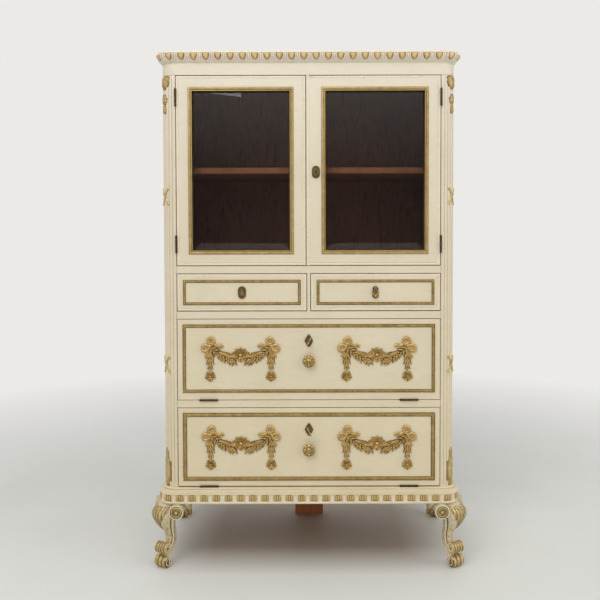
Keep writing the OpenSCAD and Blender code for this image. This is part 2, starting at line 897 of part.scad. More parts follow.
// Looks back along +Y from the door's face at the keyhole
module at_door_keyhole() {
    translate([door_escutcheon_x, front_y, door_low + door_escutcheon_up])
        rotate([-90, 0, 0]) children();
}

// The lock case let into the back of the stile, made deeper by spare for its recess
module door_lock_case(spare) {
    translate([door_escutcheon_x, lock_y, door_low + door_escutcheon_up])
        box(-door_lock_w / 2, door_lock_w / 2, 0, lock_t + spare, -door_lock_h / 2,
            door_lock_h / 2);
}

module right_door_lock() {
    color(brass) difference() {
        door_lock_case(0);
        at_door_keyhole() cylinder(r = key_r + key_play, h = bolt_y - front_y);
    }
}

// An oval plate facing -Y, standing on the plane y = 0, with a hole of radius r
module oval_plate(w, h, t, r) {
    end_r = w / 2;
    rotate([90, 0, 0]) difference() {
        union() {
            for (side = [-1, 1]) translate([0, side * (h / 2 - end_r), 0])
                cylinder(r = end_r, h = t);
            box(-end_r, end_r, -h / 2 + end_r, h / 2 - end_r, 0, t);
        }
        translate([0, 0, -overshoot]) cylinder(r = r, h = t + 2 * overshoot);
    }
}

module right_door_escutcheon() {
    color(bronze) translate([door_escutcheon_x, front_y, door_low + door_escutcheon_up])
        oval_plate(oval_w, oval_h, plate_t, key_r + key_play);
}

// Drawers: the right-hand one, from which the left is mirrored
drawer_x0 = divider_t / 2 + gap;
drawer_low = drawer_z + gap;
drawer_high = display_z - gap;
box_x0 = divider_t / 2 + drawer_play;
box_x1 = open_x - drawer_play;
box_z0 = drawer_z + drawer_slide;
box_z1 = display_z - drawer_top_play;
box_y0 = front_y + drawer_front_t;
box_y1 = front_y + drawer_d;

module drawer_bottom_board(spare) {
    groove = drawer_side_t / 2;
    box(box_x0 + groove, box_x1 - groove, box_y0 - spare, box_y1 - drawer_side_t + groove,
        box_z0 + drawer_bottom_up, box_z0 + drawer_bottom_up + drawer_bottom_t);
}

module drawer_carcass() {
    difference() {
        union() {
            box(box_x0, box_x0 + drawer_side_t, box_y0, box_y1, box_z0, box_z1);
            box(box_x1 - drawer_side_t, box_x1, box_y0, box_y1, box_z0, box_z1);
            box(box_x0, box_x1, box_y1 - drawer_side_t, box_y1, box_z0, box_z1);
        }
        drawer_bottom_board(overshoot);
    }
}

module drawer_face() {
    box(drawer_x0, edge_x, front_y, box_y0, drawer_low, drawer_high);
}

module drawer_bead() {
    bead_frame(drawer_x0 + drawer_bead_in, edge_x - drawer_bead_in,
        drawer_low + drawer_bead_in, drawer_high - drawer_bead_in, drawer_bead_w, front_y,
        bead_proud);
}

fit_z = (drawer_low + drawer_high) / 2;

module left_drawer_front() {
    color(cream) mirror([1, 0, 0]) drawer_face();
}

module left_drawer_box() {
    color(raw_wood) mirror([1, 0, 0]) drawer_carcass();
}

module left_drawer_bottom() {
    color(raw_wood) mirror([1, 0, 0]) drawer_bottom_board(0);
}

// The gilt bead and the oval plate of the left drawer
module left_drawer_trim() {
    color(gilt) mirror([1, 0, 0]) drawer_bead();
    color(bronze) translate([-drawer_fit_x, front_y, fit_z])
        oval_plate(oval_w, oval_h, 2 * plate_t, key_r);
}

module right_drawer_front() {
    color(cream) drawer_face();
}

module right_drawer_box() {
    color(raw_wood) drawer_carcass();
}

module right_drawer_bottom() {
    color(raw_wood) drawer_bottom_board(0);
}

pull_pin_z = fit_z + pull_l / 2 - 2;
pull_pin_y = front_y - plate_t - pull_r - 2;
ear_t = 2.5;
ear_r = pin_r + 1;
eye_w = 5;

// The gilt bead of the right drawer, and the plate whose ears carry the pull
module right_drawer_trim() {
    color(gilt) drawer_bead();
    color(bronze) translate([drawer_fit_x, 0, 0]) {
        translate([0, front_y, fit_z]) oval_plate(oval_w * 0.8, oval_h, plate_t, key_r);
        for (side = [-1, 1]) translate([side * (eye_w / 2 + touch + ear_t / 2), 0, pull_pin_z])
            box(-ear_t / 2, ear_t / 2, pull_pin_y - ear_r, front_y - plate_t, -ear_r, ear_r);
        translate([0, pull_pin_y, pull_pin_z]) rotate([0, 90, 0])
            cylinder(r = pin_r, h = eye_w + 2 * ear_t, center = true);
    }
}

// The hanging pull: an eye on the pin, two spreading arms and three lobes
module drawer_pull() {
    eye_r = pin_r + 1.3;
    neck = ear_r * sqrt(2) + touch;
    arm_l = pull_l * 0.62;
    inner_top = -neck - pull_r;
    color(bronze) translate([drawer_fit_x, pull_pin_y, pull_pin_z]) difference() {
        union() {
            rotate([0, 90, 0]) cylinder(r = eye_r, h = eye_w, center = true);
            rotate([90, 0, 0]) linear_extrude(2 * pull_r, center = true) difference() {
                union() {
                    polygon([[-eye_w / 2, 0], [eye_w / 2, 0], [eye_w / 2, -neck],
                        [pull_spread, -arm_l], [-pull_spread, -arm_l],
                        [-eye_w / 2, -neck]]);
                    for (side = [-1, 1]) translate([side * pull_spread * 0.55, -arm_l])
                        circle(pull_spread * 0.5);
                    translate([0, -pull_l + pull_spread * 0.7]) circle(pull_spread * 0.7);
                }
                polygon([[0, inner_top], [pull_spread - 3.5, pull_r - arm_l],
                    [3.5 - pull_spread, pull_r - arm_l]]);
            }
        }
        rotate([0, 90, 0]) cylinder(r = pin_r + pin_play, h = 2 * eye_w, center = true);
    }
}

// Flaps, given the heights of their lower and upper edges
shank_r = 3;
shank_l = 14;

module flap_board(z0, z1, axis_z) {
    difference() {
        box(-edge_x, edge_x, front_y, front_y + door_t, z0, z1);
        at_flap_hinges(axis_z) leaf_recess(flap_hinge_l, z0 - axis_z, 1);
        translate([0, front_y - overshoot, z1 - knob_down]) rotate([-90, 0, 0])
            cylinder(r = shank_r, h = shank_l + overshoot);
        translate([0, front_y - overshoot, z1 - key_down]) rotate([-90, 0, 0])
            cylinder(r = key_r + key_play, h = door_t + 2 * overshoot);
        lock_case(z1, overshoot);
    }
}

// The right-hand end of a garland as discs: bow, hanging leaves and rose. Each is
// [right, up, radius], in shares of the garland's width.
garland_end = [[0.376, 0.128, 0.056], [0.44, 0.048, 0.06], [0.376, 0, 0.036],
    [0.384, -0.072, 0.032], [0.384, -0.144, 0.044], [0.384, -0.2, 0.032],
    [0.384, -0.272, 0.068]];
// The swag from the bow to the rosette, likewise
garland_swag = [[0.35, 0.08, 0.052], [0.295, 0.03, 0.056], [0.24, -0.005, 0.06],
    [0.185, -0.03, 0.064], [0.13, -0.048, 0.068], [0.075, -0.055, 0.07]];

module garland() {
    for (side = [-1, 1]) {
        for (d = concat(garland_end, garland_swag) * garland_w)
            translate([side * d[0], d[1], 0]) cylinder(r = d[2], h = garland_t);
        translate([side * garland_w * 0.384, 0, 0])
            box(-garland_w * 0.012, garland_w * 0.012, -garland_w * 0.272,
                garland_w * 0.128, 0, garland_t * 2 / 3);
    }
    cylinder(r = garland_w * 0.092, h = garland_t * 4 / 3);
}

// The gilt bead and the two garlands of a flap
module flap_trim(z0, z1, bead_in, bead_low, bead_w) {
    bead_frame(-edge_x + bead_in, edge_x - bead_in, z0 + bead_low, z1 - bead_in, bead_w,
        front_y, bead_proud);
    both_sides() translate([garland_x, front_y, z1 - garland_down]) rotate([90, 0, 0])
        garland();
}

// The knob, the kite-shaped escutcheon and the moving hinge leaves of a flap
module flap_fittings(z0, z1, axis_z) {
    kite_w = 13.5;
    kite_up = 19;
    kite_down = 22;
    knob_r = knob_d / 2;
    color(brass) translate([0, front_y, z1 - knob_down]) {
        rotate([90, 0, 0]) rotate_extrude() polygon(concat(
            [[0, 0], [knob_r * 0.55, 0], [knob_r * 0.42, knob_out * 0.3],
            [knob_r * 0.9, knob_out * 0.5], [knob_r, knob_out * 0.65]],
            [[knob_r * 0.9, knob_out * 0.82], [knob_r * 0.45, knob_out * 0.95],
            [0, knob_out]]));
        rotate([-90, 0, 0]) cylinder(r = shank_r, h = shank_l);
    }
    color(bronze) translate([0, front_y, z1 - key_down]) rotate([90, 0, 0]) difference() {
        linear_extrude(plate_t) polygon([[0, kite_up], [kite_w * 0.55, 8], [kite_w, -1],
            [kite_w * 0.6, -12], [0, -kite_down], [-kite_w * 0.6, -12], [-kite_w, -1],
            [-kite_w * 0.55, 8]]);
        translate([0, 0, -overshoot])
            cylinder(r = key_r + key_play, h = plate_t + 2 * overshoot);
    }
    color(bronze) at_flap_hinges(axis_z)
        hinge(flap_hinge_l, axis_z - z0, z0 - axis_z, true);
}

// The lock case let into the back of a flap, made larger by spare for its recess
bit_l = 8;
bit_room = key_r + bit_l + 1.5;
lock_wall = 6;

module lock_case(z1, spare) {
    box(-lock_w / 2, lock_w / 2, lock_y, lock_y + lock_t + spare,
        z1 - key_down - bit_room - lock_wall, z1 + spare);
}

// The case is open at its top for the bolt and round inside for the key's bit
module flap_lock(z1) {
    z_key = z1 - key_down;
    bolt_x = bolt_w / 2 + bolt_play;
    half_t = bolt_t / 2 + bolt_play;
    color(brass) difference() {
        lock_case(z1, 0);
        box(-bolt_x, bolt_x, bolt_y - half_t, bolt_y + half_t, z_key + bit_room - 2,
            z1 + overshoot);
        translate([0, bolt_y, z_key]) rotate([90, 0, 0])
            cylinder(r = bit_room, h = 2 * half_t, center = true);
        translate([0, lock_y - overshoot, z_key]) rotate([-90, 0, 0])
            cylinder(r = key_r + key_play, h = bolt_y - lock_y + overshoot);
    }
}

module flap_bolt(z1) {
    color(brass) box(-bolt_w / 2, bolt_w / 2, bolt_y - bolt_t / 2, bolt_y + bolt_t / 2,
        z1 - key_down + bit_room + touch, z1 - touch);
}

// A key: bow, shaft and bit, turned about the keyhole's axis
module flap_key(z1, turn) {
    bow_t = 3.5;
    bow_deep = 20;
    bow_y = front_y - key_out;
    color(brass) translate([0, 0, z1 - key_down]) rotate([0, turn, 0]) {
        translate([0, bow_y, 0]) rotate([-90, 0, 0])
            cylinder(r = key_r, h = bolt_y + bolt_t / 2 - touch - bow_y);
        translate([0, bow_y, 0]) rotate([0, 90, 0]) for (side = [-1, 1]) difference() {
            translate([side * (bow_l / 2 - bow_deep / 2), 0, 0])
                cylinder(r = bow_deep / 2, h = bow_t, center = true);
            translate([side * bow_l / 4, 0, 0])
                cylinder(r = bow_deep / 5, h = 2 * bow_t, center = true);
        }
        box(-1.2, 1.2, bolt_y - bolt_t / 2 + touch, bolt_y + bolt_t / 2 - touch, 0,
            key_r + bit_l);
    }
}

module upper_flap_panel() {
    color(cream) flap_board(up_flap_z, up_flap_top, up_axis_z);
}

module upper_flap_trim() {
    color(gilt) flap_trim(up_flap_z, up_flap_top, up_bead_in, up_bead_low, up_bead_w);
}

module upper_flap_fittings() {
    flap_fittings(up_flap_z, up_flap_top, up_axis_z);
}

module upper_flap_lock() {
    flap_lock(up_flap_top);
}

module upper_flap_bolt() {
    flap_bolt(up_flap_top);
}

module upper_flap_key() {
    flap_key(up_flap_top, up_key_turn);
}

module lower_flap_panel() {
    color(cream) flap_board(low_flap_z, low_flap_top, low_axis_z);
}

module lower_flap_trim() {
    color(gilt) flap_trim(low_flap_z, low_flap_top, low_bead_in, low_bead_low, low_bead_w);
}

module lower_flap_fittings() {
    flap_fittings(low_flap_z, low_flap_top, low_axis_z);
}

module lower_flap_lock() {
    flap_lock(low_flap_top);
}

module lower_flap_bolt() {
    flap_bolt(low_flap_top);
}

module lower_flap_key() {
    flap_key(low_flap_top, low_key_turn);
}

left_side_panel();
right_side_panel();
back_panel();
top_board();
bottom_board();
middle_board();
drawer_board();
display_floor();
drawer_divider();
drawer_guides();
stop_strips();
display_shelf();
shelf_pegs();
frieze();
cornice();
cornice_tongues();
plinth();
plinth_tongues();
left_post();
right_post();
post_ornaments();
front_left_leg();
front_right_leg();
rear_left_leg();
rear_right_leg();
centre_support();
fixed_hinge_leaves();
left_door_stiles();
left_door_rails();
left_door_bead();
left_door_glass();
left_door_hinge_leaves();
right_door_stiles();
right_door_rails();
right_door_bead();
right_door_glass();
right_door_hinge_leaves();
right_door_lock();
right_door_escutcheon();
left_drawer_front();
left_drawer_box();
left_drawer_bottom();
left_drawer_trim();
right_drawer_front();
right_drawer_box();
right_drawer_bottom();
right_drawer_trim();
drawer_pull();
upper_flap_panel();
upper_flap_trim();
upper_flap_fittings();
upper_flap_lock();
upper_flap_bolt();
upper_flap_key();
lower_flap_panel();
lower_flap_trim();
lower_flap_fittings();
lower_flap_lock();
lower_flap_bolt();
lower_flap_key();
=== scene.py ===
import json
import math

import bmesh
import bpy
import numpy as np
from mathutils import Matrix, Vector

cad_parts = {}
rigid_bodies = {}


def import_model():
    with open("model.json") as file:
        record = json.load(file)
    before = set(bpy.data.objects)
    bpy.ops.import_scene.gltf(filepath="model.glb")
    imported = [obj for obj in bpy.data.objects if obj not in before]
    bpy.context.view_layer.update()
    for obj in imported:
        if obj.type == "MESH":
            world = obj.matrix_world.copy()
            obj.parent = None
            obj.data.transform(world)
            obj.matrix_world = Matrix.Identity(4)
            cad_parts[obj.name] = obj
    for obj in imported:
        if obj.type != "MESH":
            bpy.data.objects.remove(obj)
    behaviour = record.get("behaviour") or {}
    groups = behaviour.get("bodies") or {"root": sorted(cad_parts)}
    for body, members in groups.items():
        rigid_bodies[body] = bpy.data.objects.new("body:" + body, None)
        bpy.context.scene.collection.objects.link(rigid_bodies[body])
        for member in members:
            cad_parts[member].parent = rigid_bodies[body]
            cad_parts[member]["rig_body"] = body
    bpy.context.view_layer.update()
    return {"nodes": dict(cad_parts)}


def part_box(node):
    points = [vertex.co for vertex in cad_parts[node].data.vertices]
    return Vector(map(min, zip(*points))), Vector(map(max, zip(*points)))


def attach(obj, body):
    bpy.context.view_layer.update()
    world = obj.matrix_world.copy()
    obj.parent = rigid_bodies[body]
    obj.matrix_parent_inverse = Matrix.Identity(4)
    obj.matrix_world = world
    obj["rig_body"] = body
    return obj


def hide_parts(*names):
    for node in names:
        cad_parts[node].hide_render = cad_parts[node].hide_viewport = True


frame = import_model()
cad = frame["nodes"]
mm = 0.001

print("frame: loaded", len(cad), "nodes")


# Planes and levels of the cabinet, in millimetres, read from the frame

def lowOf(node):
    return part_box(node)[0] / mm


def highOf(node):
    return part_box(node)[1] / mm


halfWidth = highOf("right_side_panel").x
openX = lowOf("right_post").x
frontY = lowOf("left_door_stiles").y
postY = lowOf("right_side_panel").y
backY = highOf("back_panel").y
postR = halfWidth - openX
legTop = lowOf("plinth").z
plinthTop = lowOf("right_side_panel").z
friezeZ = highOf("right_side_panel").z
corniceZ = highOf("frieze").z
topZ = highOf("top_board").z
corniceOut = highOf("cornice").x - halfWidth
plinthOut = highOf("plinth").x - halfWidth


# Colours are written as they look on a screen, 0 to 255

def colour(r, g, b):
    def linear(v):
        v = v / 255
        return v / 12.92 if v <= 0.04045 else ((v + 0.055) / 1.055) ** 2.4
    return (linear(r), linear(g), linear(b), 1.0)


class Finish:
    # A material and short calls for wiring its nodes

    def __init__(self, name):
        self.material = bpy.data.materials.new(name)
        self.material.use_nodes = True
        self.tree = self.material.node_tree
        self.shader = self.tree.nodes["Principled BSDF"]

    def node(self, kind, settings=None, **links):
        made = self.tree.nodes.new(kind)
        for key, value in (settings or {}).items():
            setattr(made, key, value)
        for key, value in links.items():
            self.feed(made.inputs[key.replace("_", " ")], value)
        return made

    def feed(self, socket, value):
        if hasattr(value, "is_output"):
            self.tree.links.new(value, socket)
        else:
            socket.default_value = value

    def place(self):
        return self.node("ShaderNodeTexCoord").outputs["Object"]

    def mark(self, name):
        return self.node("ShaderNodeAttribute", {"attribute_name": name}).outputs["Fac"]

    def stretched(self, scale):
        return self.node("ShaderNodeMapping", Vector=self.place(), Scale=scale).outputs[0]

    def noise(self, scale, detail=3.0, rough=0.5, at=None):
        made = self.node("ShaderNodeTexNoise", Vector=at or self.place(), Scale=scale,
                         Detail=detail, Roughness=rough)
        return made.outputs["Fac"]

    def ramp(self, value, stops):
        made = self.node("ShaderNodeValToRGB", Fac=value)
        ends = made.color_ramp.elements
        for at, shade in stops[1:-1]:
            ends.new(at).color = shade
        ends[0].position, ends[0].color = stops[0]
        ends[len(ends) - 1].position, ends[len(ends) - 1].color = stops[-1]
        return made.outputs["Color"]

    def fade(self, value, low, high, to=(0.0, 1.0)):
        made = self.node("ShaderNodeMapRange", Value=value)
        for key, number in zip(("From Min", "From Max", "To Min", "To Max"), (low, high, *to)):
            made.inputs[key].default_value = number
        return made.outputs["Result"]

    def sum(self, kind, a, b):
        made = self.node("ShaderNodeMath", {"operation": kind, "use_clamp": True})
        self.feed(made.inputs[0], a)
        self.feed(made.inputs[1], b)
        return made.outputs[0]

    def mix(self, share, a, b):
        made = self.node("ShaderNodeMix", {"data_type": "RGBA"})
        self.feed(made.inputs["Factor"], share)
        self.feed(made.inputs["A"], a)
        self.feed(made.inputs["B"], b)
        return made.outputs["Result"]

    def bump(self, height, strength):
        made = self.node("ShaderNodeBump", Height=height, Strength=strength, Distance=0.5 * mm)
        self.feed(self.shader.inputs["Normal"], made.outputs["Normal"])

    def show(self, **values):
        for key, value in values.items():
            self.feed(self.shader.inputs[key.replace("_", " ")], value)
        return self.material


agedPaint = {
    "top": colour(230, 219, 200), "upper": colour(220, 208, 184), "middle": colour(221, 208, 180),
    "lower": colour(219, 205, 172), "foot": colour(216, 201, 166),
    # the darkest brown is for the gaps between the fronts and for low places: painted shade with
    # some soiling
    "rubbed": colour(248, 238, 216), "grimeAndShade": colour(150, 128, 92), "shadeAndDirt": colour(104, 82, 52),
    "chip": colour(122, 88, 52), "washAndShade": colour(140, 116, 74),
    # a rubbed edge is made paler by this share; on the cornice's lip the paleness is a painted
    # highlight
    "wearAndHighlight": 0.3,            # how much paler a rubbed edge is
    "gapShadeAndDirt": (0.4, 1.6),  # painted shade with some soiling in a gap sets in between these depths, in mm
    "gapDepth": (7.0, 14.0),
}


def paintColour(f):
    # The paint is yellower and darker towards the floor, with soft brushed mottling; the paler top
    # is partly a painted highlight for the light that falls from above
    height = f.node("ShaderNodeSeparateXYZ", Vector=f.place()).outputs["Z"]
    level = f.fade(height, 0.0, topZ * mm)
    ground = f.ramp(level, [(0.0, agedPaint["foot"]), (0.28, agedPaint["lower"]),
                            (0.52, agedPaint["middle"]), (0.78, agedPaint["upper"]),
                            (1.0, agedPaint["top"])])
    broad = f.fade(f.noise(7.0, 4.0, 0.6), 0.3, 0.7, (0.0, 0.22))
    ground = f.mix(broad, ground, agedPaint["rubbed"])
    streaks = f.noise(1.0, 4.0, 0.6, f.stretched((22.0, 22.0, 160.0)))
    ground = f.mix(f.fade(streaks, 0.55, 0.8, (0.0, 0.16)), ground, agedPaint["grimeAndShade"])
    stains = f.noise(38.0, 6.0, 0.72)
    return f.mix(f.fade(stains, 0.62, 0.8, (0.0, 0.3)), ground, agedPaint["grimeAndShade"])


def creamPaint():
    f = Finish("creamPaint")
    ground = paintColour(f)
    wearAndHighlightMark = f.mark("wearAndHighlight")
    patches = f.fade(f.noise(95.0, 5.0, 0.65), 0.45, 0.62)
    ground = f.mix(f.sum("MULTIPLY", wearAndHighlightMark, agedPaint["wearAndHighlight"]), ground, agedPaint["rubbed"])
    chips = f.sum("MULTIPLY", f.sum("MULTIPLY", wearAndHighlightMark, patches),
                  f.fade(f.noise(420.0, 3.0), 0.56, 0.62))
    ground = f.mix(f.sum("MULTIPLY", chips, 0.4), ground, agedPaint["chip"])
    # Faces that look into the gaps, and low places near the front, are darkened brown: painted shade
    # with some soiling
    deep = f.node("ShaderNodeSeparateXYZ", Vector=f.place()).outputs["Y"]
    begins, ends = ([(frontY + depth) * mm for depth in agedPaint[key]]
                    for key in ("gapShadeAndDirt", "gapDepth"))
    edge = f.sum("MULTIPLY", f.fade(deep, *begins), f.fade(deep, *ends, (1.0, 0.2)))
    shadedAndGrimy = f.sum("MULTIPLY", f.sum("MULTIPLY", f.mark("grimeAndShade"), edge),
                  f.fade(f.noise(60.0, 4.0), 0.2, 0.7, (0.65, 1.0)))
    ground = f.mix(shadedAndGrimy, ground, agedPaint["shadeAndDirt"])
    fine = f.noise(1.0, 3.0, 0.5, f.stretched((140.0, 140.0, 900.0)))
    f.bump(f.sum("ADD", f.sum("MULTIPLY", fine, 0.6), f.noise(420.0, 2.0)), 0.22)
    return f.show(Base_Color=ground, Roughness=f.fade(f.noise(30.0), 0.3, 0.7, (0.38, 0.54)))


def gilding(name, bright, mid, dark, metal=0.55):
    # Gold leaf over a dark ground: bright on the tops as a painted highlight, brown in the hollows
    # as painted shade over some darkened patina
    f = Finish(name)
    bright, mid, dark = colour(*bright), colour(*mid), colour(*dark)
    patchy = f.fade(f.noise(70.0, 5.0, 0.7), 0.3, 0.7, (-0.16, 0.16))
    level = f.sum("ADD", f.mark("tone"), patchy)
    shade = f.ramp(level, [(0.0, dark), (0.42, mid), (0.78, bright), (1.0, bright)])
    rubbed = f.fade(f.noise(170.0, 4.0, 0.7), 0.6, 0.72, (0.0, 0.3))
    f.bump(f.noise(520.0, 3.0), 0.25)
    return f.show(Base_Color=f.mix(rubbed, shade, mid), Metallic=metal,
                  Roughness=f.fade(f.noise(120.0), 0.3, 0.7, (0.34, 0.52)))


def paintAndGold():
    # Carved wood that is cream where the mark "gilt" is 0 and gold where it is 1
    f = Finish("paintAndGold")
    ground = paintColour(f)
    # The tone paints light: a brown glaze darkens the low places as painted shade, and the gold is
    # paler on the tops as a painted highlight
    tone = f.mark("tone")
    shadeAndDirt = f.fade(tone, 0.0, 0.7, (0.75, 0.0))
    ground = f.mix(shadeAndDirt, ground, agedPaint["washAndShade"])
    gold = f.ramp(f.sum("ADD", tone, f.fade(f.noise(70.0, 5.0, 0.7), 0.3, 0.7, (-0.15, 0.15))),
                  [(0.0, colour(86, 62, 26)), (0.45, colour(150, 124, 72)),
                   (0.85, colour(202, 178, 122)), (1.0, colour(220, 198, 148))])
    edge = f.fade(f.noise(110.0, 4.0, 0.6), 0.3, 0.7, (-0.28, 0.28))
    share = f.fade(f.sum("ADD", f.mark("gilt"), edge), 0.3, 0.7)
    f.bump(f.noise(420.0, 3.0), 0.25)
    return f.show(Base_Color=f.mix(share, ground, gold),
                  Metallic=f.sum("MULTIPLY", share, 0.4),
                  Roughness=f.fade(f.noise(60.0), 0.3, 0.7, (0.38, 0.55)))


def oldWood(name, light, dark, rough=0.55, along=(14.0, 160.0, 14.0)):
    # The grain runs where the numbers of along are smallest
    f = Finish(name)
    light, dark = colour(*light), colour(*dark)
    rings = f.node("ShaderNodeTexNoise", Vector=f.stretched(along), Scale=1.0, Detail=6.0,
                   Roughness=0.62, Distortion=0.6).outputs["Fac"]
    shade = f.ramp(rings, [(0.3, dark), (0.5, light), (0.7, dark)])
    shade = f.mix(f.fade(f.noise(5.0, 3.0), 0.35, 0.65, (0.0, 0.35)), shade, dark)
    f.bump(rings, 0.25)
    return f.show(Base_Color=shade, Roughness=rough)


def agedMetal(name, bright, dark, rough, metal=0.9):
    f = Finish(name)
    bright, dark = colour(*bright), colour(*dark)
    between = tuple((a + b) / 2 for a, b in zip(bright, dark))
    # Noise stains plus the tone: rims and tops pale as a painted highlight, sunk parts dark as
    # painted shade
    stainsAndShading = f.sum("ADD", f.fade(f.noise(90.0, 5.0, 0.7), 0.35, 0.65, (-0.25, 0.25)),
                    f.mark("tone"))
    shade = f.ramp(stainsAndShading, [(0.0, dark), (0.55, between), (1.0, bright)])
    f.bump(f.noise(600.0, 3.0), 0.2)
    return f.show(Base_Color=shade, Metallic=metal,
                  Roughness=f.fade(f.noise(150.0), 0.3, 0.7, (rough - 0.08, rough + 0.1)))


def plateGlass():
    return Finish("plateGlass").show(Base_Color=colour(238, 242, 238), Roughness=0.0, IOR=1.45,
                                     Transmission_Weight=1.0)


cream = creamPaint()
beadGold = gilding("beadGold", (198, 170, 116), (144, 120, 64), (80, 58, 24))
carvedGold = gilding("carvedGold", (206, 172, 108), (142, 110, 50), (64, 42, 12))
postGold = gilding("postGold", (208, 182, 124), (160, 134, 80), (92, 68, 34), 0.4)
amberGold = gilding("amberGold", (236, 204, 152), (206, 170, 112), (108, 80, 42), 0.4)
strawGold = gilding("strawGold", (206, 178, 122), (176, 146, 88), (112, 88, 52))
carvedLeg = paintAndGold()
insideWood = oldWood("insideWood", (142, 74, 42), (88, 40, 24), along=(48.0, 120.0, 11.0))
shelfWood = oldWood("shelfWood", (176, 104, 60), (124, 66, 36))
plainWood = oldWood("plainWood", (176, 118, 66), (132, 80, 40), 0.62)
supportWood = oldWood("supportWood", (178, 112, 58), (128, 72, 34), 0.6, (160.0, 160.0, 12.0))
bronze = agedMetal("darkBronze", (136, 112, 70), (66, 50, 28), 0.42, 0.7)
brass = agedMetal("oldBrass", (186, 160, 104), (112, 88, 46), 0.34)
glass = plateGlass()
print("finishes: ready")


class Shape:
    # Points in millimetres with faces and two marks: tone, 0 in hollows to 1 on tops, and gilt. The
    # tone paints light: shade in the hollows and a highlight on the tops

    def __init__(self, points, faces, tone=0.6, gilt=1.0):
        self.points = np.array(points, float).reshape(-1, 3)
        self.faces = [tuple(face) for face in faces]
        self.tone = np.broadcast_to(np.array(tone, float), len(self.points)).copy()
        self.gilt = np.broadcast_to(np.array(gilt, float), len(self.points)).copy()

    def turned(self):
        self.faces = [face[::-1] for face in self.faces]
        return self

    def placed(self, matrix):
        m = np.array(matrix, float)
        made = Shape(self.points @ m[:3, :3].T + m[:3, 3], self.faces, self.tone, self.gilt)
        return made.turned() if np.linalg.det(m[:3, :3]) < 0 else made

    def moved(self, x=0.0, y=0.0, z=0.0):
        return self.placed(Matrix.Translation((x, y, z)))

    def spun(self, degrees):
        return self.placed(Matrix.Rotation(math.radians(degrees), 4, "Y"))

    def mirrored(self, axis=0):
        scale = [1.0, 1.0, 1.0]
        scale[axis] = -1.0
        return self.placed(Matrix.Diagonal((*scale, 1.0)))

    def bent(self, rule):
        return Shape(rule(self.points), self.faces, self.tone, self.gilt)


def joined(shapes):
    points, faces, at = [], [], 0
    for shape in shapes:
        points.append(shape.points)
        faces += [tuple(i + at for i in face) for face in shape.faces]
        at += len(shape.points)
    return Shape(np.concatenate(points), faces, np.concatenate([s.tone for s in shapes]),
                 np.concatenate([s.gilt for s in shapes]))


def newObject(name, data):
    made = bpy.data.objects.new(name, data)
    bpy.context.scene.collection.objects.link(made)
    return made


def makeObject(name, shape, materials, sharp=38.0):
    mesh = bpy.data.meshes.new(name)
    mesh.from_pydata((shape.points * mm).tolist(), [], shape.faces)
    # The low places of cream carving are marked from the tone to be darkened brown: painted shade in
    # the hollows
    marks = {"tone": shape.tone, "gilt": shape.gilt,
             "grimeAndShade": np.clip((0.62 - shape.tone) * 0.9, 0.0, 1.0)}
    for key, values in marks.items():
        mark = mesh.attributes.new(key, "FLOAT", "POINT")
        mark.data.foreach_set("value", values.astype(np.float32))
    for material in materials:
        mesh.materials.append(material)
    sheet = bmesh.new()
    sheet.from_mesh(mesh)
    bmesh.ops.recalc_face_normals(sheet, faces=sheet.faces)
    sheet.to_mesh(mesh)
    sheet.free()
    smoothMesh(mesh, sharp)
    return newObject(name, mesh)


def smoothMesh(mesh, sharp):
    mesh.polygons.foreach_set("use_smooth", [True] * len(mesh.polygons))
    mesh.set_sharp_from_angle(angle=math.radians(sharp))
    mesh.update()


def carryOn(piece, replaced=(), body=None):
    # The piece rides on the body of the first node that it stands for
    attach(piece, body or cad[replaced[0]]["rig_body"])
    if replaced:
        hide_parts(*replaced)
    return piece


def addPiece(name, shape, materials, sharp, replaced=(), body=None):
    return carryOn(makeObject(name, shape, materials, sharp), replaced, body)


def evaluated(obj, name):
    graph = bpy.context.evaluated_depsgraph_get()
    mesh = bpy.data.meshes.new_from_object(obj.evaluated_get(graph), depsgraph=graph)
    mesh.name = name
    made = newObject(name, mesh)
    bpy.data.objects.remove(obj)
    return made


# Shapes that are used over and over

def turnOf(count):
    # Angles once round a circle
    return [2 * math.pi * k / count for k in range(count)]


def gridFaces(rows, columns, closed=False):
    # Faces between rows of points, turned so that a skin seen from -Y faces out
    faces = []
    for i in range(rows - 1):
        for j in range(columns if closed else columns - 1):
            a, b = i * columns + j, i * columns + (j + 1) % columns
            faces.append((a, b, b + columns, a + columns))
    return faces


def loft(rings, tone=0.6, gilt=1.0, capped=True):
    # Skin over closed rings that run counter-clockwise seen from the last one
    count = len(rings[0])
    faces = gridFaces(len(rings), count, True)
    if capped:
        faces.append(tuple(range(count - 1, -1, -1)))
        faces.append(tuple(range((len(rings) - 1) * count, len(rings) * count)))
    points = np.concatenate([np.array(ring, float) for ring in rings])
    if np.ndim(tone) > 1:
        tone = np.concatenate(tone)
    if np.ndim(gilt) > 1:
        gilt = np.concatenate(gilt)
    return Shape(points, faces, tone, gilt)


def closedLoft(rings, tone=0.6, gilt=1.0):
    # The same, but the last ring joins the first one
    count = len(rings) * len(rings[0])
    faces = [tuple(i % count for i in face)
             for face in gridFaces(len(rings) + 1, len(rings[0]), True)]
    return Shape(np.concatenate([np.array(ring, float) for ring in rings]), faces, tone, gilt)


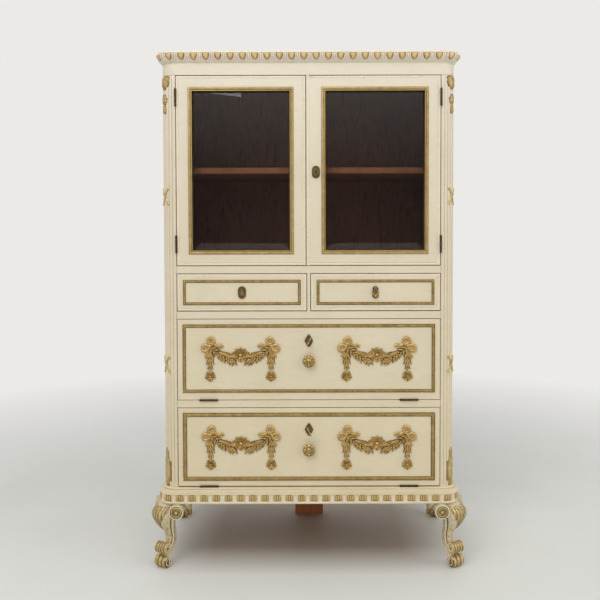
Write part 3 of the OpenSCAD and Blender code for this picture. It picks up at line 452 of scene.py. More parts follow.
def tube(path, radius, sides=10, flat=1.0, tone=0.6, gilt=1.0, normal=(0, -1, 0), closed=False):
    # A round or flattened rod along a path; flat is its height along the normal over its width
    path = [Vector(p) for p in path]
    rings = []
    last = len(path) - 1
    for i, p in enumerate(path):
        before = path[(i - 1) % len(path)] if closed else path[max(i - 1, 0)]
        after = path[(i + 1) % len(path)] if closed else path[min(i + 1, last)]
        along = (after - before).normalized()
        up = Vector(normal)
        up = (up - along * up.dot(along)).normalized()
        side = along.cross(up)
        r = radius(i / last) if callable(radius) else radius
        rings.append([p + side * (r * math.cos(a)) + up * (r * flat * math.sin(a))
                      for a in turnOf(sides)])
    return (closedLoft if closed else loft)(rings, tone, gilt)


def lathe(profile, segments=32, wave=None, tone=None, gilt=1.0):
    # Turned round the -Y axis: points of the profile are (radius, height towards -Y)
    rings = []
    for r, h in profile:
        ring = []
        for a in turnOf(segments):
            reach, rise = wave(r, h, a) if wave else (r, h)
            ring.append((reach * math.cos(a), -rise, reach * math.sin(a)))
        rings.append(ring)
    top = max(h for _, h in profile)
    # By default the higher parts are toned paler: a painted highlight on the tops
    if tone is None:
        tone = [[0.15 + 0.75 * max(0.0, min(1.0, h / top))] * segments for _, h in profile]
    return loft(rings, tone, gilt)


def closeBack(front, back, tone, rows, columns):
    # A closed relief from a grid of front points, whose rows run downwards, and its back
    count = len(front)
    faces = [face[::-1] for face in gridFaces(rows, columns)]
    faces += [tuple(i + count for i in face) for face in gridFaces(rows, columns)]
    rim = list(range(columns)) + [i * columns + columns - 1 for i in range(1, rows)]
    rim += [(rows - 1) * columns + j for j in range(columns - 2, -1, -1)]
    rim += [i * columns for i in range(rows - 2, 0, -1)]
    for a, b in zip(rim, rim[1:] + rim[:1]):
        faces.append((a, b, b + count, a + count))
    return Shape(list(front) + list(back), faces, list(tone) + [0.05] * count)


def carved(rows, across, rule, sink=1.0):
    # A relief with a flat back. The rule gives x, height, z and tone at a share of the way
    # down and at a place across, from -1 to 1.
    places = [rule(i / rows, v) for i in range(rows + 1) for v in across]
    front = [(x, -h, z) for x, h, z, _ in places]
    back = [(x, sink, z) for x, _, z, _ in places]
    return closeBack(front, back, [tone for *_, tone in places], rows + 1, len(across))


def evenly(count):
    return [2 * k / (count - 1) - 1 for k in range(count)]


def carvedLeaf(length, width, relief, lobes=3, rows=16, columns=9, tipCurl=0.0, sink=0.8):
    # Grows up from the origin: a raised midrib, hollows beside it and lobed edges
    def rule(u, v):
        a = abs(v)
        body = (u + 0.04) ** 0.55 * (1.03 - u) ** 0.72 * 1.72
        scallop = 0.74 + 0.26 * abs(math.sin(math.pi * (lobes * u ** 0.9 + 0.12))) ** 0.7
        reach = max(0.06, body * scallop) * width / 2
        swell = 0.5 - 0.5 * math.cos(2 * math.pi * min(1.0, a * 0.86 + 0.14))
        rib = math.exp(-(v / 0.16) ** 2)
        veins = 0.16 * math.cos(2 * math.pi * (lobes * u - a * 0.9)) * a
        h = relief * (0.2 + 0.62 * swell + 0.5 * rib * (1 - 0.5 * u) + veins)
        h *= min(1.0, 0.55 + 1.2 * u) * (1.0 - 0.35 * u ** 3)
        h = max(0.25, h * (0.25 if a > 0.99 else 1.0))
        x = v * reach + tipCurl * length * u * u
        # The tone follows the height: painted shade low down, a painted highlight on the raised
        # parts
        return x, h, u * length - 0.06 * length * a * a, min(1.0, 0.08 + 0.85 * h / relief)

    return carved(rows, evenly(columns), rule, sink).turned()


cornerForm = {"square": 0.7, "squareBy": 9.0, "sideFrom": 6.0, "sideShare": 0.45}


def planCorner(out, a):
    # A place round the right corner at an angle from the front. The mouldings turn the corner
    # fuller than the post does, and stand out less at the side.
    c = cornerForm
    power = 2 / (2 + c["square"] * max(0.0, min(1.0, out / c["squareBy"])))
    side = min(out, c["sideFrom"] + (out - c["sideFrom"]) * c["sideShare"])
    return (openX + (postR + side) * math.sin(a) ** power,
            postY - (postR + out) * math.cos(a) ** power)


def roundSweep(profile, steps=30):
    # Moulding round the front and the sides; profile points are (out, height), closed
    rings = []
    for side in (-1, 1):
        for k in range(steps + 1):
            share = k / steps if side > 0 else 1 - k / steps
            places = [planCorner(out, math.pi / 2 * share) for out, _ in profile]
            rings.append([(side * x, y, z) for (x, y), (_, z) in zip(places, profile)])
    rings.insert(0, [(x, backY, z) for x, _, z in rings[0]])
    rings.append([(x, backY, z) for x, _, z in rings[-1]])
    return loft(rings, 0.6, 0.0)


def arc(cx, cy, r, start, end, steps):
    return [(cx + r * math.cos(math.radians(start + (end - start) * k / steps)),
             cy + r * math.sin(math.radians(start + (end - start) * k / steps)))
            for k in range(steps + 1)]


# Painted boards: the CAD solid with eased edges and any cutter taken off

def paintedBoard(node, ease=0.9, cutter=None, inside=None, material=None):
    # inside says, from a face's middle and normal, where the board is bare wood
    sheet = bmesh.new()
    sheet.from_mesh(cad[node].data)
    bmesh.ops.remove_doubles(sheet, verts=sheet.verts, dist=2e-6)
    bmesh.ops.dissolve_limit(sheet, angle_limit=math.radians(0.5), verts=sheet.verts,
                             edges=sheet.edges)
    mesh = bpy.data.meshes.new(node + "Board")
    sheet.to_mesh(mesh)
    sheet.free()
    made = newObject(node + "Work", mesh)
    if cutter:
        cut = made.modifiers.new("cut", "BOOLEAN")
        cut.operation, cut.solver, cut.object = "DIFFERENCE", "EXACT", cutter
    if ease:
        bevel = made.modifiers.new("ease", "BEVEL")
        bevel.width, bevel.segments = ease * mm, 3
        bevel.limit_method, bevel.angle_limit = "ANGLE", math.radians(60)
        bevel.use_clamp_overlap = True
    made = evaluated(made, node + "Board")
    made.data.materials.clear()
    made.data.materials.append(material or cream)
    if inside:
        made.data.materials.append(insideWood)
        for face in made.data.polygons:
            face.material_index = int(inside(face.center / mm, face.normal))
    markWear(made.data)
    smoothMesh(made.data, 30.0)
    for face in made.data.polygons:
        if face.area > 1e-4 and max(abs(part) for part in face.normal) > 0.9999:
            face.use_smooth = False
    return carryOn(made, [node])


def markWear(mesh):
    # Narrow faces beside the arrises are rubbed; broad faces aren't
    wearAndHighlight = mesh.attributes.new("wearAndHighlight", "FLOAT", "CORNER")
    values = np.zeros(len(mesh.loops), np.float32)
    for face in mesh.polygons:
        ends = [mesh.vertices[i].co for i in face.vertices]
        narrowest = min((ends[k] - ends[k - 1]).length for k in range(len(ends)))
        if len(ends) == 4 and narrowest < 2.2 * mm:
            values[list(face.loop_indices)] = 1.0
    wearAndHighlight.data.foreach_set("value", values)
    markGapShadeAndGrime(mesh)


def markGapShadeAndGrime(mesh):
    # Marks the faces that look into a gap between the fronts, to be darkened as painted shade with
    # some soiling
    grimeAndShade = mesh.attributes.new("grimeAndShade", "FLOAT", "CORNER")
    shadeAndDirt = np.zeros(len(mesh.loops), np.float32)
    for face in mesh.polygons:
        if abs(face.normal.y) < 0.3 and abs(face.center.x) < (openX + 0.3) * mm:
            shadeAndDirt[list(face.loop_indices)] = 1.0
    grimeAndShade.data.foreach_set("value", shadeAndDirt)


# Rows along a path, made by one tree of geometry nodes

def rowTree():
    tree = bpy.data.node_groups.new("rowAlongPath", "GeometryNodeTree")
    for label, kind in (("Path", "NodeSocketGeometry"), ("Piece", "NodeSocketObject"),
                        ("Count", "NodeSocketInt"), ("Size", "NodeSocketFloat"),
                        ("Finish", "NodeSocketMaterial")):
        tree.interface.new_socket(label, in_out="INPUT", socket_type=kind)
    tree.interface.new_socket("Row", in_out="OUTPUT", socket_type="NodeSocketGeometry")
    new, link = tree.nodes.new, tree.links.new
    start, end = new("NodeGroupInput"), new("NodeGroupOutput")
    curve, even = new("GeometryNodeMeshToCurve"), new("GeometryNodeResampleCurve")
    link(start.outputs["Path"], curve.inputs["Mesh"])
    link(curve.outputs["Curve"], even.inputs["Curve"])
    link(start.outputs["Count"], even.inputs["Count"])
    aim = new("FunctionNodeAlignRotationToVector")
    aim.axis, aim.pivot_axis = "X", "Z"
    link(new("GeometryNodeInputTangent").outputs[0], aim.inputs["Vector"])
    info, copies = new("GeometryNodeObjectInfo"), new("GeometryNodeInstanceOnPoints")
    link(start.outputs["Piece"], info.inputs["Object"])
    link(even.outputs["Curve"], copies.inputs["Points"])
    link(info.outputs["Geometry"], copies.inputs["Instance"])
    link(aim.outputs["Rotation"], copies.inputs["Rotation"])
    link(start.outputs["Size"], copies.inputs["Scale"])
    real, finish = new("GeometryNodeRealizeInstances"), new("GeometryNodeSetMaterial")
    link(copies.outputs["Instances"], real.inputs["Geometry"])
    link(real.outputs["Geometry"], finish.inputs["Geometry"])
    link(start.outputs["Finish"], finish.inputs["Material"])
    link(finish.outputs["Geometry"], end.inputs["Row"])
    return tree


rowAlongPath = rowTree()


def makeRow(name, path, piece, count, finish, sharp=60.0, size=1.0):
    # path is a list of points; piece is a shape about the origin that faces -Y
    mesh = bpy.data.meshes.new(name + "Path")
    mesh.from_pydata([Vector(p) * mm for p in path], [(i, i + 1) for i in range(len(path) - 1)], [])
    line = newObject(name + "Path", mesh)
    pattern = makeObject(name + "Pattern", piece, [finish], sharp)
    nodes = line.modifiers.new("row", "NODES")
    nodes.node_group = rowAlongPath
    values = {"Piece": pattern, "Count": count, "Size": size, "Finish": finish}
    for item in rowAlongPath.interface.items_tree:
        if item.item_type == "SOCKET" and item.in_out == "INPUT" and item.name in values:
            nodes[item.identifier] = values[item.name]
    made = evaluated(line, name)
    bpy.data.objects.remove(pattern)
    smoothMesh(made.data, sharp)
    return made


def outlineHalf(out):
    # The moulding line from the middle of the front to the right rear, with its distances
    line = [(0.0, frontY - out)] + [planCorner(out, math.pi / 2 * k / 60) for k in range(61)]
    line = np.array(line + [(line[-1][0], backY)])
    steps = np.hypot(*np.diff(line, axis=0).T)
    return line, np.concatenate([[0.0], np.cumsum(steps)])


def outlinePath(out, z, first, last):
    # Points along the moulding line between two distances from the middle of the front
    line, reach = outlineHalf(out)
    return [(math.copysign(np.interp(abs(s), reach, line[:, 0]), s),
             np.interp(abs(s), reach, line[:, 1]), z) for s in np.linspace(first, last, 601)]


def outlineLength(out):
    return outlineHalf(out)[1][-1]


def rowEnds(out, pitch, shift):
    # Where a row begins and ends along the moulding, and how many pieces it has
    limit = outlineLength(out) - pitch / 2
    last = pitch / 2 + pitch * int((limit - pitch / 2) / pitch)
    return shift - last, shift + last, int(round(2 * last / pitch)) + 1


print("tools: ready")


# Cornice: a lip over a swelling band with a row of tongues in shells, and darts between them

corniceForm = {"pitch": 36.4, "tongueWidth": 21.0, "lip": 5.8, "ring": 24.0, "ledge": 40.0,
               "bottomOut": 2.6, "topOut": 16.6, "tongue": 3.6, "shift": 5.5, "tongueEnd": 4.4,
               "shell": 2.5, "dart": 8.5, "dartRelief": 3.2}
boardLow = lowOf("top_board").z


def ovoloOut(share):
    # How far the band stands out at a share of its height
    c = corniceForm
    return c["bottomOut"] + (c["topOut"] - c["bottomOut"]) \
        * math.sin(math.pi / 2 * max(0.0, min(1.0, share))) ** 0.9


def makeCornice():
    c = corniceForm
    bandLow, bandHigh = corniceZ + 1.6, topZ - c["lip"]
    high, out = bandHigh - bandLow, corniceOut
    profile = [(-c["ledge"], corniceZ), (1.0, corniceZ), (1.9, corniceZ + 0.6)]
    profile += [(ovoloOut(k / 10), bandLow + high * k / 10) for k in range(10)]
    profile += [(c["topOut"] + 0.3, bandHigh - 0.2), (out - 1.4, bandHigh - 0.1),
                (out - 0.4, bandHigh + 0.5), (out, bandHigh + 1.6), (out, topZ - 2.4),
                (out - 0.5, topZ - 0.8), (out - 1.8, topZ), (-c["ring"], topZ),
                (-c["ring"], boardLow), (-c["ledge"], boardLow)]
    body = addPiece("cornice", roundSweep(profile[::-1]), [cream], 40, ["cornice"])
    # The lip and the top are marked as rubbed, which makes them paler: a painted highlight where
    # they face the light, with some chips
    wearAndHighlightMark = body.data.attributes.new("wearAndHighlight", "FLOAT", "POINT")
    wearAndHighlightMark.data.foreach_set("value", [float(v.co.z > bandHigh * mm) for v in body.data.vertices])

    # A tongue is an egg, broad at the top, in a raised shell, with a dart between shells
    half, middle = c["tongueWidth"] / 2, ovoloOut(0.5)

    def onBand(shape):
        def lean(points):
            moved = points.copy()
            moved[:, 1] -= [ovoloOut(z / high) - middle for z in points[:, 2]]
            return moved
        return shape.bent(lean)

    def egg(t, v):
        z = high + 0.4 - t * (high - c["tongueEnd"])
        reach = max(0.05, half * (1 - t ** 2.8) ** 0.66)
        # The egg is toned dark round its rim as painted shade and pale on its swell as a painted
        # highlight
        if abs(v) > 0.99 or t in (0.0, 1.0):
            return reach * v, 0.1, z, 0.0
        swell = math.cos(v * math.pi / 2)
        return (reach * v, c["tongue"] * (0.55 + 0.45 * swell) * (1 - 0.4 * t ** 3), z,
                0.16 + 0.84 * swell ** 1.6 * (1 - 0.62 * t ** 1.5))

    rims = []
    for side in (-1, 1):
        path = [(side * (half + c["shell"]) * math.cos(a) ** 0.7, -1.3,
                 high - 0.6 - (high - c["tongueEnd"] + 2.2) * math.sin(a))
                for a in np.linspace(0.0, math.pi / 2 - 0.03, 9)]
        rims.append(tube(path, lambda t: c["shell"] - 0.9 * t, 7, 1.0, 0.9, 0.0))
    dart = carvedLeaf(high - 1.0, c["dart"], c["dartRelief"], 1, 6, 5).spun(180)

    pitch = c["pitch"]
    first, last, count = rowEnds(middle, pitch, c["shift"])
    path = outlinePath(middle, bandLow, first, last)
    between = outlinePath(middle, bandLow, first + pitch / 2, last - pitch / 2)
    across = (-1.0, -0.86, -0.62, -0.34, 0.0, 0.34, 0.62, 0.86, 1.0)
    row = makeRow("corniceTongues", path, onBand(carved(9, across, egg, 1.2)), count, amberGold)
    carryOn(row, ["cornice_tongues"])
    shells = makeRow("corniceShells", path, onBand(joined(rims)), count, cream)
    carryOn(shells, body="case")
    darts = makeRow("corniceDarts", between, onBand(dart.moved(z=high - 0.6)), count - 1, cream)
    carryOn(darts, body="case")


makeCornice()


# Plinth: a bead and a reeded hollow over a band of tongues between ribs, and a rounded lip

plinthForm = {"pitch": 36.7, "tongueWidth": 21.0, "tongueHeight": 19.5, "relief": 5.0,
              "lip": 8.2, "lipRound": 4.1, "under": 3.4, "ring": 24.0, "ledge": 40.0,
              "neck": 7.0, "bead": 5.6, "fluteRadius": 1.25, "flutePitch": 6.1, "shift": -4.0,
              "barBack": 0.05}
plinthBoardLow = lowOf("bottom_board").z


def boxShape(x0, x1, y0, y1, z0, z1):
    points = [(x, y, z) for z in (z0, z1) for x, y in ((x0, y0), (x1, y0), (x1, y1), (x0, y1))]
    faces = [(3, 2, 1, 0), (4, 5, 6, 7), (0, 1, 5, 4), (1, 2, 6, 5), (2, 3, 7, 6), (3, 0, 4, 7)]
    return Shape(points, faces, 0.6, 0.0)


def makePlinth():
    p = plinthForm
    out, neck, relief, lipRound = plinthOut, p["neck"], p["relief"], p["lipRound"]
    band = out - relief
    lipLow = legTop + p["under"]
    bandLow = lipLow + p["lip"]
    bandHigh = bandLow + p["tongueHeight"] + 0.5
    coveLow, coveHigh = bandHigh + 2.4, plinthTop - p["bead"] - 1.0
    cove = [(neck + 0.6 + (out - 3.2 - neck) * (1 - math.sin(math.radians(a))),
             coveHigh - (coveHigh - coveLow) * math.cos(math.radians(a)))
            for a in range(0, 91, 15)]
    profile = [(-p["ledge"], legTop), (out - 14, legTop), (out - 12, lipLow)]
    profile += arc(out - lipRound, lipLow + lipRound + 0.1, lipRound, -90, 55, 7)
    profile += [(out - 2.8, bandLow - 0.2), (band, bandLow), (band, bandHigh),
                (out - 1.2, bandHigh + 0.2), (out - 0.8, bandHigh + 1.2),
                (out - 1.8, bandHigh + 2.2)]
    profile += cove + [(neck - 0.4, coveHigh + 0.4)]
    profile += arc(neck - p["bead"] / 2, plinthTop - p["bead"] / 2, p["bead"] / 2, -70, 90, 8)
    profile += [(-p["ring"], plinthTop), (-p["ring"], plinthBoardLow),
                (-p["ledge"], plinthBoardLow)]
    # The back bar's rear face lies just inside the ends of the ring, so no two faces coincide
    ends = halfWidth - p["ring"]
    bar = boxShape(-ends, ends, backY - p["ring"], backY - p["barBack"], legTop, plinthTop)
    addPiece("plinth", joined([roundSweep(profile[::-1]), bar]), [cream], 40, ["plinth"])

    pitch = p["pitch"]
    half, high = p["tongueWidth"] / 2, p["tongueHeight"]
    ribHalf, foot = pitch / 2 - half - 0.7, p["lip"] - 0.8

    def tongue(t, v):
        archTop = high - half * 0.95 * (1 - math.sqrt(max(0.0, 1 - v * v * 0.98)))
        z = archTop * (1 - t) + 0.3
        if abs(v) > 0.99 or t in (0.0, 1.0):
            return half * v, 0.1, z, 0.0
        # The tongue's reeds are toned pale on their crests and dark at its rim, and the ribs pale on
        # their crowns: painted highlight and painted shade
        reed = abs(math.cos(v * 1.5 * math.pi)) ** 0.7
        rise = (relief - 1.4) * (0.42 + 0.58 * reed) * (1 - 0.25 * v * v)
        return half * v, rise, z, 0.1 + 0.8 * reed

    def rib(t, v):
        # a round upright between two tongues that swells out over the lip
        z = high + 0.2 - t * (high + foot)
        swell = relief * (0.5 + 0.42 * t) + 2.2 * max(0.0, 1 - ((z + 2.8) / 4.6) ** 2) ** 0.5
        crown = math.sqrt(max(0.0, 1 - v * v))
        h = max(0.1, swell * crown * (0.3 if t in (0.0, 1.0) else 1.0))
        return v * ribHalf * (0.86 + 0.14 * t), h, z, 0.35 + 0.5 * crown

    first, last, count = rowEnds(band, pitch, p["shift"])
    right = (0.0, 0.16, 0.33, 0.5, 0.66, 0.8, 0.92, 1.0)
    across = [-v for v in right[:0:-1]] + list(right)
    row = makeRow("plinthTongues", outlinePath(band, bandLow, first, last),
                  carved(8, across, tongue), count, strawGold)
    carryOn(row, ["plinth_tongues"])
    across = (-1.0, -0.9, -0.7, -0.4, 0.0, 0.4, 0.7, 0.9, 1.0)
    ribs = makeRow("plinthRibs", outlinePath(band, bandLow, first - pitch / 2, last + pitch / 2),
                   carved(12, across, rib), count + 1, cream)
    carryOn(ribs, body="case")

    # Fine upright reeds fill the hollow over the band
    reed = tube([(0.0, band - x + 0.1, z - coveLow) for x, z in cove], p["fluteRadius"], 6,
                1.0, 0.6, 0.0)
    length = outlineLength(band) - 4.0
    reeds = makeRow("plinthReeds", outlinePath(band, coveLow, -length, length), reed,
                    int(2 * length / p["flutePitch"]), cream)
    carryOn(reeds, body="case")


makePlinth()
print("mouldings: made")


def pathSweep(corners, y, profile, closed=True, tones=None):
    # Mitred moulding along corners that run counter-clockwise seen from the front;
    # profile points are (inwards, outwards) and close on themselves
    count = len(corners)
    normals = []
    for k in range(count):
        (x0, z0), (x1, z1) = corners[k], corners[(k + 1) % count]
        length = math.hypot(x1 - x0, z1 - z0)
        normals.append((-(z1 - z0) / length, (x1 - x0) / length))
    turns = []
    for k in range(count):
        before, after = normals[k - 1], normals[k]
        if not closed and k == 0:
            turns.append(after)
        elif not closed and k == count - 1:
            turns.append(before)
        else:
            turns.append((before[0] + after[0], before[1] + after[1]))
    rings = [[(x + tx * a, y - out, z + tz * a) for a, out in profile]
             for (x, z), (tx, tz) in zip(corners, turns)]
    return (closedLoft if closed else loft)(rings, list(tones or [0.6] * len(profile)) * count)


def rectangle(x0, x1, z0, z1):
    return [(x0, z0), (x1, z0), (x1, z1), (x0, z1)]


# Doors and drawer fronts: a small bead and quirk is cut round their outer edges

edgeForm = {"bead": 6.6, "drop": 1.7, "quirk": 0.9, "quirkDeep": 1.2, "doorInset": 0.5,
            "drawerInset": 0.8, "step": 3.0}


def edgeCutter(name, corners, inset, closed=True):
    e = edgeForm
    half, past = e["bead"] / 2, inset + e["bead"]
    profile = [(-1.5, 0.6), (-1.5, -e["step"]), (inset, -e["step"])]
    profile += [(inset + half - half * math.cos(math.radians(a)),
                 -0.03 - (e["drop"] - 0.03) * (1 - math.sin(math.radians(a))))
                for a in range(0, 181, 15)]
    profile += [(past + 0.3, -e["quirkDeep"]), (past + e["quirk"], -e["quirkDeep"]),
                (past + e["quirk"] + 0.7, 0.0), (past + e["quirk"] + 0.7, 0.6)]
    cutter = makeObject(name, pathSweep(corners, frontY, profile, closed), [])
    cutter.hide_render = True
    return cutter


beadForm = {"crown": 3.4, "drawerInset": 17.5, "drawerWidth": 9.0}
doorForm = {"sightIn": 7.0, "bevel": 22.0, "paneEdge": 1.9, "meetingBead": 9.5}


def roundBead(width, crown):
    # A half-round between two narrow fillets
    points = [(0.1, -0.3), (0.1, 0.7), (0.9, 0.9)]
    reach = width / 2 - 1.2
    points += [(width / 2 - reach * math.cos(math.radians(a)),
                0.7 + (crown - 0.7) * math.sin(math.radians(a))) for a in range(10, 171, 16)]
    points += [(width - 0.9, 0.9), (width - 0.1, 0.7), (width - 0.1, -0.3)]
    # The half-round is toned paler towards its crown: a painted highlight
    tones = [0.2, 0.35, 0.15] + [0.2 + 0.34 * math.sin(math.radians(a))
                                 for a in range(10, 171, 16)] + [0.15, 0.4, 0.25]
    return points, tones


def doorBeadForm(width, glassIn):
    # A half-round, an inner flat and a slope down to the glass, toned dark there as painted shade;
    # the half-round is toned paler at its crown as a painted highlight
    points = [(0.1, -0.3), (0.1, 0.6)]
    points += [(4.3 - 4.0 * math.cos(math.radians(a)), 0.6 + 2.8 * math.sin(math.radians(a)))
               for a in range(10, 166, 15)]
    points += [(8.7, 0.8), (9.3, 1.6), (11.0, 1.9), (width - 0.9, 1.5), (width - 0.1, 0.5),
               (width + 0.4, -0.6), (width + 0.8, -2.4), (width + 2.4, 0.3 - glassIn),
               (width + 0.05, 0.3 - glassIn), (width + 0.05, -0.3)]
    tones = [0.1, 0.2] + [0.22 + 0.46 * math.sin(math.radians(a)) for a in range(10, 166, 15)]
    tones += [0.0, 0.8, 0.95, 0.7, 0.2, 0.0, 0.0, 0.0, 0.0, 0.0]
    return points, tones


def makeDoor(side):
    low, high = lowOf(side + "_door_stiles"), highOf(side + "_door_stiles")
    glassLow, glassHigh = lowOf(side + "_door_glass"), highOf(side + "_door_glass")
    reach = doorForm["sightIn"]
    sightX0, sightX1 = glassLow.x + reach, glassHigh.x - reach
    sightZ0, sightZ1 = glassLow.z + reach, glassHigh.z - reach
    # the right door's inner edge has the wide meeting bead in place of the cut one
    inner = low.x + doorForm["meetingBead"] * (side == "right")
    cutter = edgeCutter(side + "DoorCutter", rectangle(inner, high.x, low.z, high.z),
                        edgeForm["doorInset"], side == "left")
    for part in ("_door_stiles", "_door_rails"):
        paintedBoard(side + part, 0, cutter)
    bpy.data.objects.remove(cutter)

    width = sightX0 - lowOf(side + "_door_bead").x
    glassIn = glassLow.y - frontY
    profile, tones = doorBeadForm(width, glassIn)
    frameRing = pathSweep(rectangle(sightX0 - width, sightX1 + width, sightZ0 - width,
                                    sightZ1 + width), frontY, profile, True, tones)
    behind, deep = glassHigh.y - frontY, high.y - frontY
    fillet = [(0.2, -behind), (8.0, -behind), (8.0, -behind - 1.4)]
    fillet += [(0.4 + 7.4 * math.cos(math.radians(a)), -behind - 1.6
                - (deep - behind - 1.8) * math.sin(math.radians(a))) for a in range(10, 91, 16)]
    fillet += [(0.2, 0.2 - deep)]
    rear = pathSweep(rectangle(sightX0 - 8, sightX1 + 8, sightZ0 - 8, sightZ1 + 8), frontY,
                     fillet)
    bead = makeObject(side + "DoorBead", joined([frameRing, rear]), [beadGold, cream], 30)
    for face in bead.data.polygons:
        face.material_index = int(face.center.y / mm > glassHigh.y - 0.5)
    carryOn(bead, [side + "_door_bead"])

    # The pane is ground to a broad bevel round its front
    bevel, thin = doorForm["bevel"], doorForm["paneEdge"]
    x0, x1, z0, z1 = glassLow.x, glassHigh.x, glassLow.z, glassHigh.z
    y0, y1 = glassLow.y, glassHigh.y

    def level(inset, y):
        return [(x0 + inset, y, z0 + inset), (x1 - inset, y, z0 + inset),
                (x1 - inset, y, z1 - inset), (x0 + inset, y, z1 - inset)]

    pane = loft([level(0, y1 - 0.05), level(0, y0 + thin), level(reach + bevel, y0 + 0.05)])
    addPiece(side + "DoorGlass", pane, [glass], 1.0, [side + "_door_glass"])


# Boards of the case that are painted outside and bare within

def bareFaces(node):
    # Says of a face, by its middle and its normal, whether it lies inside the case
    def within(at, normal):
        if node.endswith("side_panel"):
            return normal.x * at.x < -0.5 * abs(at.x)
        if node == "top_board":
            return normal.z < -0.5
        if node == "frieze":
            return normal.y > 0.5
        return abs(normal.z) > 0.5 and at.y > lowOf(node).y + 0.5
    return within


def makeCase():
    for node in ("left_side_panel", "right_side_panel", "top_board", "frieze", "middle_board",
                 "drawer_board", "display_floor", "drawer_divider"):
        paintedBoard(node, 0.6, inside=bareFaces(node))
    for node, finish in (("back_panel", insideWood), ("bottom_board", plainWood),
                         ("drawer_guides", plainWood), ("stop_strips", plainWood),
                         ("display_shelf", shelfWood), ("centre_support", supportWood),
                         ("left_drawer_box", plainWood), ("right_drawer_box", plainWood),
                         ("left_drawer_bottom", plainWood), ("right_drawer_bottom", plainWood)):
        paintedBoard(node, 0.8, material=finish)


def makeDrawerFronts():
    for side in ("left", "right"):
        low, high = lowOf(side + "_drawer_front"), highOf(side + "_drawer_front")
        cutter = edgeCutter(side + "DrawerCutter", rectangle(low.x, high.x, low.z, high.z),
                            edgeForm["drawerInset"])
        paintedBoard(side + "_drawer_front", 0, cutter)
        bpy.data.objects.remove(cutter)


makeDoor("left")
makeDoor("right")
makeCase()
makeDrawerFronts()
print("boards: made")


def dome(radius, height, rings=4, segments=12, tone=(0.2, 0.95)):
    # A low dome facing -Y on the plane y = 0
    profile = [(radius, -0.8)] + [(radius * math.cos(math.pi / 2 * k / rings),
                                   height * math.sin(math.pi / 2 * k / rings))
                                  for k in range(rings)] + [(0.05, height)]
    # Toned from dark at the foot to pale at the crown: painted shade and a painted highlight
    tones = [[tone[0]] * segments] + [[tone[0] + (tone[1] - tone[0]) * k / rings] * segments
                                      for k in range(rings + 1)]
    return lathe(profile, segments, None, tones)


def petal(reach, wide, height):
    # An egg-shaped petal from the origin upwards, with a dished face and a raised rim
    def rule(t, v):
        u = 1 - t
        half = wide / 2 * (math.sin(math.pi * min(1.0, 0.12 + 0.88 * u) ** 1.25) ** 0.6 + 0.04)
        edge = abs(v) > 0.99 or t == 0.0
        h = height * (0.3 + 0.7 * u) * (0.72 + 0.28 * v * v) * (0.35 if edge else 1.0)
        shade = 0.0 if edge else 0.35 + 0.65 * u * abs(v) ** 0.5
        return -half * v, max(0.3, h), reach * (u - 0.1 * v * v * u), 0.1 + 0.8 * shade

    return carved(6, evenly(7), rule, 0.8)


def rose(radius, height, petals=5):
    parts = [petal(radius, radius * 1.12, height * 0.8).spun(360 / petals * (k + 0.5))
             for k in range(petals)]
    parts += [petal(radius * 0.6, radius * 0.6, height).spun(360 / petals * k)
              for k in range(petals)]
    return joined(parts + [dome(radius * 0.24, height * 1.12)])


# Garlands: bows, a swag of leaves down to a rosette, and two hanging roses

garlandForm = {
    "leaf": 25.0, "leafWidth": 13.5, "relief": 7.6, "rosette": 25.0, "rose": 17.0, "ribbon": 4.4,
    "swagFrom": (90, 19), "swagWide": 70, "swagDrop": 34, "leafPairs": 8, "berries": 10,
    "knot": (93, 25), "roseAt": (92, -67), "rosetteZ": -2, "petals": (10, 8),
    # leaves below the swag and leaves of the drop: x, z, turn and size
    "hanging": ((64, 4, -152, 1.0), (42, -6, -164, 1.2), (25, -8, 176, 1.15)),
    "drop": ((90, 6, 196, 1.2), (94, 6, 164, 1.2), (92, -12, 212, 0.95), (92, -12, 148, 0.95),
             (92, -26, 200, 0.9), (92, -26, 160, 0.9)),
    # loops of the bow: middle, half width, half height and lean
    "loops": ((88.5, 40.5, 9.6, 9.0, 20), (106.0, 19.5, 10.8, 9.0, -35)),
    # ribbons and the stem of the drop: radius at both ends, flatness and points
    "ribbons": ((4.2, 5.0, 0.62, ((92, 26), (80, 30), (70, 24), (61, 28), (53, 22))),
                (3.6, 4.2, 0.62, ((95, 22), (103, 10), (99, 0), (107, -9))),
                (3.6, 2.8, 0.62, ((92, 22), (87, 10), (91, 2)))),
    "stem": (2.5, 2.2, 1.0, ((92, 8), (92.6, -14), (91.6, -34), (92, -58))),
}


def alongSwag(t):
    # A place on the middle line of the swag, and the way it heads there
    (x, z), wide, drop = (garlandForm[key] for key in ("swagFrom", "swagWide", "swagDrop"))
    heading = math.degrees(math.atan2(-wide, -2 * drop * (1 - t)))
    return x - wide * t, z - drop * (1 - (1 - t) ** 2), heading


def bowLoop(cx, cz, rx, rz, lean, squeeze=0.2):
    path = []
    c, s = math.cos(math.radians(lean)), math.sin(math.radians(lean))
    for a in turnOf(28):
        x, z = rx * math.cos(a) * (1 - squeeze * math.sin(a)), rz * math.sin(a)
        path.append((cx + x * c - z * s, -3.2 - 1.4 * math.sin(a + 0.6), cz + x * s + z * c))
    return tube(path, garlandForm["ribbon"], tone=0.72, closed=True)


def ribbon(r0, r1, flat, points):
    path = []
    for (xa, za), (xb, zb) in zip(points, points[1:]):
        path += [(xa + (xb - xa) * t, -2.4, za + (zb - za) * t) for t in (0.0, 0.34, 0.67)]
    path.append((points[-1][0], -2.0, points[-1][1]))
    return tube(path, lambda t: r0 + (r1 - r0) * t, 8, flat, 0.66)


